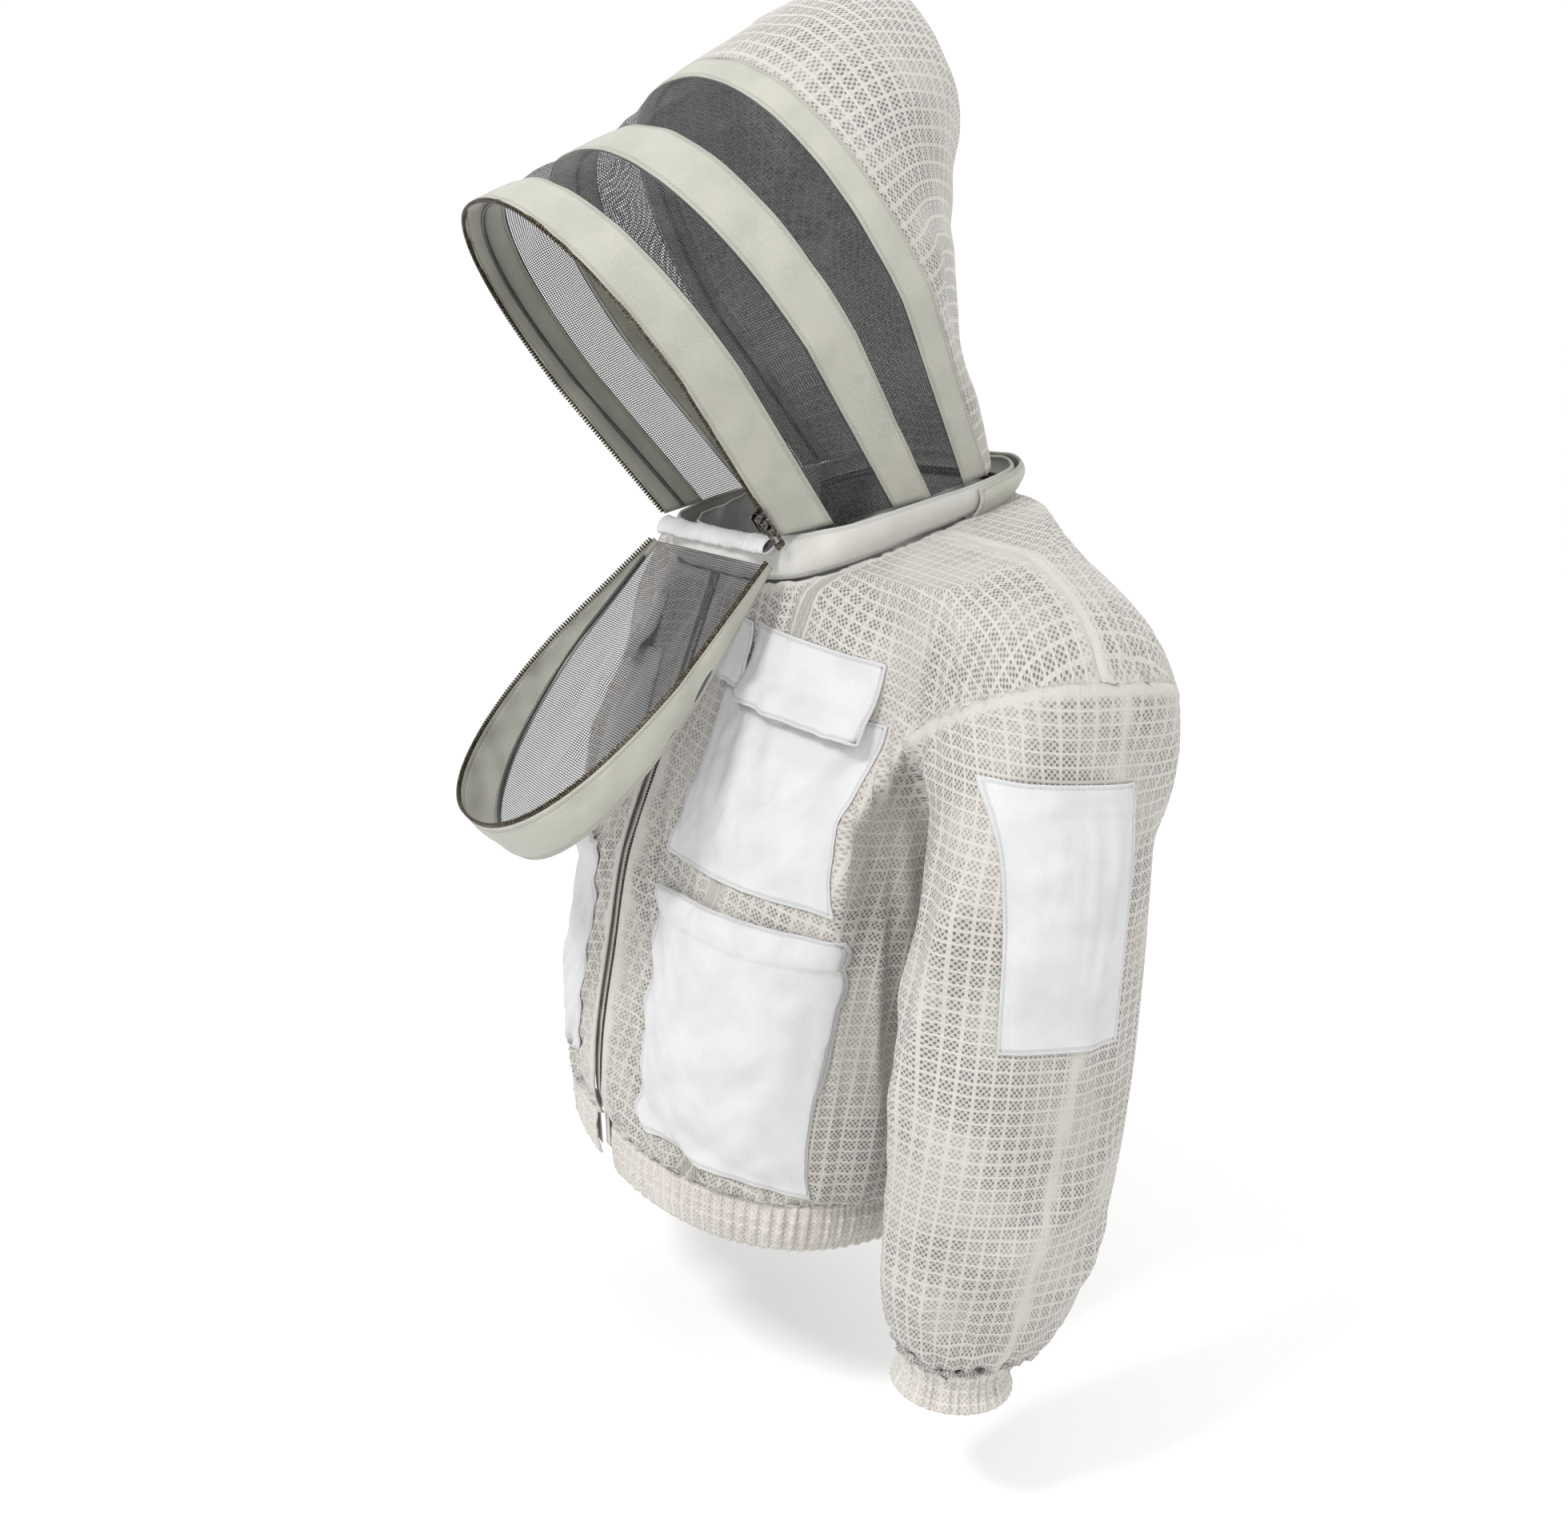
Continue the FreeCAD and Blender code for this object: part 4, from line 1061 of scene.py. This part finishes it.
def make_cuffs():
    for side, word in SIDES:
        centre = np.array([side * CUFF_CENTRE[0], CUFF_CENTRE[1], 0]) * MM
        down = shares(16)
        turn = turns(320)
        rows = []
        for t in down:
            radius = (42.0 - 3.2 * math.sin(math.pi * min(t * 1.25, 1)) + 2.0 * smooth(0.75, 1, t)) * MM
            level = (CUFF_TOP + (CUFF_LOW - CUFF_TOP) * t) * MM
            rows.append(np.stack([radius * np.cos(turn), radius * np.sin(turn), np.full(320, level)], axis=1))
        grid = centre + np.array(rows)
        wavy = gathered(grid, 38, 11.0 + side, 1.6 * MM) * (0.35 + 0.65 * hump(down))[:, None]
        piece = slab("cuff_cloth_" + word, grid, 1.3 * MM, closed=True, stitched="r", flip=True, wavy=wavy)
        finished(piece, "gathered_mesh", "sleeve_" + word, ["cuff_" + word])
        inner = centre + (grid[3:12:4] - centre) * [0.9, 0.9, 1]
        finished(slab("cuff_elastic_band_" + word, inner, 0.8 * MM, closed=True, stitched="", flip=True),
                 "elastic", "sleeve_" + word, ["cuff_elastic_" + word])


# ---- neck
def neck_ring(level, tilt, grow, count=360):
    return ring((level * MM, tilt, NECK[0] * MM, NECK[1] * MM, NECK[2] * MM, NECK[3]), grow * MM, count)


def make_neck():
    """Hood hem, both halves of the neck zip, the inner collar and the guard loop behind."""
    hem_low = NECK_LEVEL + 1.2
    grid = np.array([neck_ring(hem_low + (HEM_FOOT[0] - hem_low) * s,
                               NECK_TILT + (HEM_FOOT[1] - NECK_TILT) * s,
                               1.5 + 4.0 * hump(s) ** 0.7) for s in shares(12)])
    wavy = wave(grid, 30 * MM, 3.0) * 1.1 * MM
    piece = slab("hood_hem_tape", grid, 2.2 * MM, closed=True, stitched="r", wavy=wavy)
    finished(piece, "zip_tape", "hood", ["hood_hem"])
    for body, above, toward in (("jacket", 1.9, 1), ("hood", 5.3, -1)):
        path = neck_ring(NECK_LEVEL + above, NECK_TILT, -1.7)
        path = np.vstack([path, path[:1]])
        piece = teeth("neck_teeth_" + body, path, np.array([0, -NECK_TILT * toward, toward]), 2.2)
        finished(piece, "zip_teeth", body, ["neck_zip_teeth_" + body])
    rows = [neck_ring(-62 + 60 * s, NECK_TILT, -9 - 6 * s * s) for s in shares(20)]
    grid = np.roll(np.array(rows), -90, axis=1)
    grid = grid[:, grid[0, :, 1] < 50 * MM]
    start = np.argmax(np.abs(np.diff(grid[0, :, 0])) > 0.05)
    if start:
        grid = np.roll(grid, -(start + 1), axis=1)
    t = shares(20)[:, None]
    folds = (wave(grid * [1, 1, 0.5], 26 * MM, 6.0) * 6.0 + wave(grid * [1, 1, 0.6], 12 * MM, 2.0) * 2.0) * MM
    piece = slab("collar_inner_cloth", grid, 1.2 * MM, wavy=folds * (0.2 + 0.8 * t))
    finished(piece, "cotton", "jacket", ["inner_collar"])
    rows = [neck_ring(-32 + 24 * s, NECK_TILT, 2 + 8.5 * math.sin(math.pi * min(0.75 * s + 0.06, 1)))
            for s in shares(12)]
    grid = np.array(rows)[:, 1:180]
    grid = grid[:, grid[0, :, 1] > 44 * MM]
    piece = slab("collar_loop", grid, 2.2 * MM, wavy=wave(grid, 30 * MM, 12.0) * 1.0 * MM)
    finished(piece, "twill_tape", "jacket", ["collar_guard"])


# ---- zips
def teeth(name, path, toward, reach=3.0, tall=1.0):
    """A row of metal teeth along a path, which point the way of toward."""
    long = np.linalg.norm(np.diff(path, axis=0), axis=1).sum()
    count = int(long / (TOOTH_PITCH * MM))
    dense = along(path, 4 * count + 1)
    spots = range(2, 4 * count - 2, 4)
    vertices = []
    faces = []
    for k in spots:
        point = dense[k]
        run = dense[min(k + 1, 4 * count)] - dense[k - 1]
        run = run / np.linalg.norm(run)
        out = toward - run * (toward @ run)
        out = out / np.linalg.norm(out)
        up = np.cross(run, out)
        base = len(vertices)
        for depth, wide, high in TOOTH:
            for a, b in ((-1, -1), (1, -1), (1, 1), (-1, 1)):
                vertices.append(point + (out * (depth - 0.5) * reach + run * a * wide * TOOTH_HALF[0]
                                         + up * b * high * TOOTH_HALF[1] * tall) * MM)
        for section in range(3):
            for c in range(4):
                n = (c + 1) % 4
                faces.append([base + 4 * section + c, base + 4 * section + n,
                              base + 4 * section + 4 + n, base + 4 * section + 4 + c])
        faces.append([base + 3, base + 2, base + 1, base])
        faces.append([base + 12, base + 13, base + 14, base + 15])
    return new_object(name, vertices, faces, rounded=False)


def front_line():
    """Centre front from neck to hem, its depth taken at the front of the cloth."""
    rows = TORSO_ROWS[::-1]
    line = np.array([(0, row[3], row[0] + row[1] * row[3]) for row in rows])
    dense = through(line, 8)
    straight = dense[:, 2] > -0.29
    top = line[0]
    dense[straight, 1] = top[1] + CHEST_LEAN * (dense[straight, 2] - top[2])
    return along(dense, 160)


def make_front_zip():
    path = front_line()
    path = path[(path[:, 2] < ZIP_TOP * MM) & (path[:, 2] > ZIP_LOW * MM)]
    run = np.gradient(path, axis=0)
    run = run / np.linalg.norm(run, axis=1, keepdims=True)
    inward = np.cross([1.0, 0, 0], run)
    inward = inward * np.sign(inward[:, 1:2])
    middle = path + inward * ZIP_DEPTH * MM
    for side, word in SIDES:
        line = middle + np.array([side * 2.0 * MM, 0, 0])
        piece = teeth("front_teeth_" + word, line, np.array([-side, 0, 0]), 3.6)
        finished(piece, "zip_teeth", "jacket", ["front_zip_teeth_" + word])
        across = np.linspace(3.2, 16.5, 8)
        grid = np.array([middle + [side * x * MM, 0, 0] for x in across]).transpose(1, 0, 2)
        wavy = wave(grid, 14 * MM, 5.0) * 0.25 * MM
        piece = slab("front_tape_" + word, grid, 0.8 * MM, stitched="c", wavy=wavy, flip=side > 0)
        finished(piece, "zip_tape", "jacket", ["front_zip_tape_" + word])


# ---- hood
def outline_numbers(name):
    foot, top, narrow, wide = HOOD[name]
    return np.array([*foot, *top, narrow, wide], float) * MM


def spine(numbers):
    """Foot of a hood outline, the way it rises and its height."""
    foot = np.array([0, numbers[0], numbers[1]])
    rise = np.array([0, numbers[2], numbers[3]]) - foot
    tall = np.linalg.norm(rise)
    return foot, rise / tall, tall


def arch(numbers, count, inset=0.0):
    """Evenly spaced points round a hood outline from its +X foot over the top to its -X foot."""
    foot, rise, tall = spine(numbers)
    narrow, wide = numbers[4] - inset, numbers[5] - inset
    knee = LEG * tall
    t = np.linspace(0, math.pi, 181)
    x = wide * power(np.cos(t), 2 / ROUND)
    s = knee + (tall - inset - knee) * np.abs(np.sin(t)) ** (2 / ROUND)
    top = foot + np.outer(x, [1, 0, 0]) + np.outer(s, rise)
    share = shares(40)[:-1, None]
    leg = foot + np.array([narrow, 0, 0]) + (top[0] - foot - np.array([narrow, 0, 0])) * share
    line = np.vstack([leg, top, leg[::-1] * [-1, 1, 1]])
    return along(line, count)


def arch_grid(first, second, count, across, inset=0.0):
    a, b = outline_numbers(first), outline_numbers(second)
    return np.array([arch(a + (b - a) * s, count, inset) for s in shares(across)])


def make_hood_bands():
    """Three tapes over the hoops and the two nets between them."""
    for label, first, second, seed, wide in (("front", "rim", "front_back", 1.0, 0.04),
                                             ("middle", "mid_front", "mid_back", 4.0, 0.038),
                                             ("rear", "rear_front", "rear_back", 7.0, 0.027)):
        grid = arch_grid(first, second, 161, 15)
        share = shares(15)[:, None]
        edge = smooth(0.16, 0.1, np.minimum(share, 1 - share))
        bulge = 1.3 * MM * hump(share) ** 0.5 + 0.5 * MM * edge
        piece = slab("hood_tape_" + label, grid, 2.3 * MM, stitched="r",
                     wavy=bulge + wave(grid, 26 * MM, seed) * 1.0 * MM - 0.8 * MM, flip=True)
        finished(piece, "twill_tape", "hood", ["hood_band_" + label])
    for label, first, second, seed in (("front", "front_back", "mid_front", 2.0),
                                       ("rear", "mid_back", "rear_front", 5.0)):
        grid = arch_grid(first, second, 181, 19, inset=0.8 * MM)
        share = shares(19)[:, None]
        slack = hump(share)
        pucker = wave(grid, 40 * MM, seed) * 3.4 + wave(grid, 16 * MM, seed + 4) * 1.2
        wavy = (pucker * slack - 2.5 * slack) * MM
        piece = slab("hood_net_" + label, grid, 0, stitched="r", wavy=wavy, flip=True)
        finished(piece, "black_net", "hood", ["veil_net_" + label])


def make_crown():
    """Both halves of the crown behind the rear tape, and the tape on their seam."""
    names = ["rear_back", "crown_1", "crown_2", "crown_3", "seam"]
    rows = through([outline_numbers(n) for n in names], 9)
    lines = [arch(row, 161) for row in rows]
    closing = lines[-1].copy()
    closing[:, 0] = 0
    grid = np.array(lines + [0.5 * (lines[-1] + closing), closing])
    share = shares(len(grid))[:, None]
    free = smooth(0, 0.1, share)
    level = grid[..., 2] / MM
    grid[..., 1] -= 26 * MM * smooth(0, 0.35, share) * smooth(30, 120, level) * smooth(300, 170, level)
    soft = wave(grid, 70 * MM, 3.0) * 4.0 + wave(grid, 30 * MM, 9.0) * 1.6
    middle = np.exp(-(np.abs(np.linspace(-1, 1, 161))[None, :] / 0.035) ** 2)
    soft = soft * free * (1 - 0.7 * middle) - 1.2 * middle * free
    grid = grid - normals_of(grid, False) * (soft * MM)[..., None]
    half = 80
    for word, part in (("left", grid[:, :half + 1]), ("right", grid[:, half:])):
        piece = slab("crown_" + word, part, 1.6 * MM, stitched="", flip=True)
        points = points_of(piece)
        above_hem = points[:, 2] + 2 * MM - HEM_FOOT[1] * points[:, 1]
        mark_plain(piece.data, np.maximum(1 - smooth(5 * MM, 8 * MM, np.abs(points[:, 0])),
                                          1 - smooth(6 * MM, 10 * MM, above_hem)))
        finished(piece, "vent_mesh", "hood", ["hood_crown_" + word])
    strip = along(grid[1:-2, half], 60) + np.array([0, 1.0, -2.4]) * MM
    cols = [strip + np.array([x * MM, 0, 0]) for x in (-6, -3, 0, 3, 6)]
    tape = slab("hood_seam_strip", np.array(cols).transpose(1, 0, 2), 0.9 * MM, stitched="c", flip=True)
    finished(tape, "twill_tape", "hood", ["hood_seam_tape"])


def make_rim_teeth():
    rim = outline_numbers("rim")
    path = arch(rim, 400, inset=1.5 * MM)
    rise = spine(rim)[1]
    forward = np.array([0, -rise[2], rise[1]])
    piece = teeth("rim_teeth", path + forward * 0.6 * MM, forward, 3.2, tall=0.95)
    finished(piece, "zip_teeth", "hood", ["veil_zip_teeth_hood"])


# ---- face veil, unzipped and hanging
def veil_frame():
    """Rim outline, hinge point, the ways the veil hangs and faces, and the way its net runs."""
    rim = outline_numbers("rim")
    foot = np.array([0, rim[0], rim[1]])
    pitch = math.radians(FLAP_PITCH)
    hang = np.array([0, -math.cos(pitch), -math.sin(pitch)])
    deep = np.array([0, -hang[2], hang[1]])
    dish = math.radians(FLAP_DISH)
    floor = hang * math.cos(dish) + deep * math.sin(dish)
    return rim, foot, hang, deep, floor


def make_veil():
    """Band, teeth, net and hem of the hanging face veil."""
    rim, foot, hang, deep, floor = veil_frame()
    tip = foot + hang * FLAP_LONG * MM
    low = foot + floor * FLAP_LONG * MM
    top_line = np.array([rim[0], rim[1], tip[1], tip[2], rim[4], rim[5]])
    low_line = np.array([rim[0], rim[1], low[1], low[2], rim[4] - 1 * MM, rim[5] - 3 * MM])
    count = 221
    face_edge, back_edge, teeth_row, net_edge = [deep * depth * MM for depth in FLAP_DEPTHS]
    upper = arch(top_line, count) + face_edge
    lower = arch(low_line, count) + back_edge
    begin = ((upper - foot) @ hang) > FLAP_FOOT * MM
    upper, lower = upper[begin], lower[begin]
    share = shares(13)[:, None, None]
    grid = upper[None] * (1 - share) + lower[None] * share
    depth = np.linalg.norm(lower - upper, axis=1)[None, :]
    between = hump(share[..., 0])
    bulge = between * np.minimum(depth * 0.06, 2.2 * MM)
    crumple = wave(grid, 24 * MM, 14.0) * 1.5 * MM * smooth(0, 20 * MM, depth)
    piece = slab("veil_tape", grid, 2.2 * MM, stitched="r", wavy=bulge + crumple * between)
    finished(piece, "twill_tape", "veil", ["flap_band"])
    path = arch(top_line, count, inset=1.5 * MM) + teeth_row
    piece = teeth("veil_teeth", path[begin], -deep, 3.2, tall=0.95)
    finished(piece, "zip_teeth", "veil", ["veil_zip_teeth_flap"])
    inner = arch(low_line, count, inset=2.0 * MM)[begin] + net_edge
    half = len(inner) // 2
    left, right = inner[:half + 1], inner[half:][::-1]
    rows = min(len(left), len(right))
    share = shares(61)[None, :, None]
    net = left[:rows, None] * (1 - share) + right[:rows, None] * share
    near = smooth(0, 0.12, np.minimum(share[..., 0], 1 - share[..., 0]))
    down = shares(rows)[:, None]
    near = near * smooth(0, 0.08, down) * smooth(0, 0.1, 1 - down)
    waves = wave(net * [1, 0.45, 0.45], 45 * MM, 21.0) * 5.0 + wave(net * [1, 0.5, 0.5], 18 * MM, 31.0) * 2.0
    piece = slab("veil_net", net, 0, stitched="c", wavy=waves * near * MM)
    finished(piece, "black_net", "veil", ["flap_net"])
    make_veil_hem(foot, hang, deep, rim[4])


def make_veil_hem(foot, hang, deep, half):
    """Rolled hem across the veil's foot, gathered on its elastic."""
    xs = np.linspace(-half + 6 * MM, half - 6 * MM, 120)
    turn = turns(28)
    across = hang * 8.0 * MM
    grid = np.empty((120, 28, 3))
    for r, x in enumerate(xs):
        middle = foot + across + deep * (5.0 - 2.0 * (x / half) ** 2) * MM + np.array([x, 0, 0])
        grid[r] = middle + np.outer(np.cos(turn), hang) * 8.2 * MM + np.outer(np.sin(turn), deep) * 4.4 * MM
    ripple = np.sin(np.linspace(0, 46 * math.pi, 120))[:, None] * 0.5 + wave(grid, 14 * MM, 17.0) * 0.9
    piece = slab("veil_hem_roll", grid, 1.0 * MM, closed=True, stitched="", wavy=ripple * MM)
    finished(piece, "cotton", "veil", ["flap_hem"])


# ---- stage, light and camera
def make_stage():
    """Pale floor that rises in one curve into the backdrop, and three soft lights."""
    floor_level, reach, bend = -0.72, 3.0, 2.0
    turn = turns(96)
    rings = [(r, floor_level) for r in np.linspace(0.001, reach, 8)]
    rings += [(reach + bend * math.sin(a), floor_level + bend * (1 - math.cos(a)))
              for a in np.linspace(0.1, math.pi / 2, 14)]
    rings.append((reach + bend, 9.0))
    flat = np.stack([np.cos(turn), np.sin(turn), np.zeros(96)], axis=1)
    grid = np.array([r * flat + [0, 0, z] for r, z in rings])
    floor = slab("floor", grid, 0, closed=True)
    s = Shader("floor_paint")
    tone = s.mix(s.noise(0.4, 3), [0.93, 0.93, 0.93, 1], [0.95, 0.95, 0.95, 1])
    paint = s.surface(tone, Roughness=0.95, Emission_Color=[1, 1, 1, 1], Emission_Strength=0.11)
    floor.data.materials.append(paint)
    world = bpy.data.worlds.new("studio")
    world.use_nodes = True
    background = world.node_tree.nodes["Background"]
    background.inputs[0].default_value = (1.0, 1.0, 1.0, 1)
    background.inputs[1].default_value = 0.62
    bpy.context.scene.world = world
    bpy.context.scene.view_settings.view_transform = "Standard"
    lights = (("key", (0.7, -2.3, 2.2), 0.7, 62), ("fill", (2.6, -0.4, 1.4), 2.0, 12),
              ("rim", (-0.4, 2.4, 1.9), 1.4, 20))
    for name, place, size, watts in lights:
        light = bpy.data.lights.new(name, "AREA")
        light.energy = watts
        light.size = size
        lamp = in_scene(name, light)
        lamp.location = place
        aim = Vector((0.05, -0.05, -0.15)) - lamp.location
        lamp.rotation_euler = aim.to_track_quat("-Z", "Y").to_euler()


def make_camera():
    """Looks at the wearer's left front from a little above, turned a few degrees clockwise."""
    turn, drop, roll = (math.radians(a) for a in CAMERA_ANGLES)
    back = Vector((math.sin(turn) * math.cos(drop), -math.cos(turn) * math.cos(drop), math.sin(drop)))
    right = Vector((math.cos(turn), math.sin(turn), 0))
    up = back.cross(right)
    across = right * math.cos(roll) + up * math.sin(roll)
    over = up * math.cos(roll) - right * math.sin(roll)
    data = bpy.data.cameras.new("camera")
    data.lens = LENS
    data.sensor_width = 36
    data.clip_start = 0.05
    camera = in_scene("camera", data)
    turned = Matrix([across, over, back]).transposed().to_4x4()
    camera.matrix_world = Matrix.Translation(CAMERA_PLACE) @ turned
    bpy.context.scene.camera = camera


def dress_nodes():
    """Materials for the CAD pieces whose shape is already right."""
    finish = {
        "zip_slider": ["front_zip_slider", "front_zip_pull", "veil_zip_slider", "veil_zip_pull"],
        "zip_teeth": ["front_zip_stops", "front_zip_retainer"],
        "hoop_wire": ["hood_hoop_front", "hood_hoop_middle", "hood_hoop_rear", "flap_hoop"],
    }
    for slot, names in finish.items():
        for name in names:
            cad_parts[name].material_slots[0].material = MATERIALS[slot]


def main():
    make_camera()
    make_stage()
    dress_nodes()
    skin, tree = make_jacket()
    make_pockets(tree)
    make_pen_flap(tree)
    make_sleeve_pocket(bpy.data.objects["arm_left"])
    make_waistband()
    make_cuffs()
    make_neck()
    make_front_zip()
    make_hood_bands()
    make_crown()
    make_rim_teeth()
    make_veil()
    bpy.data.objects.remove(skin)


main()
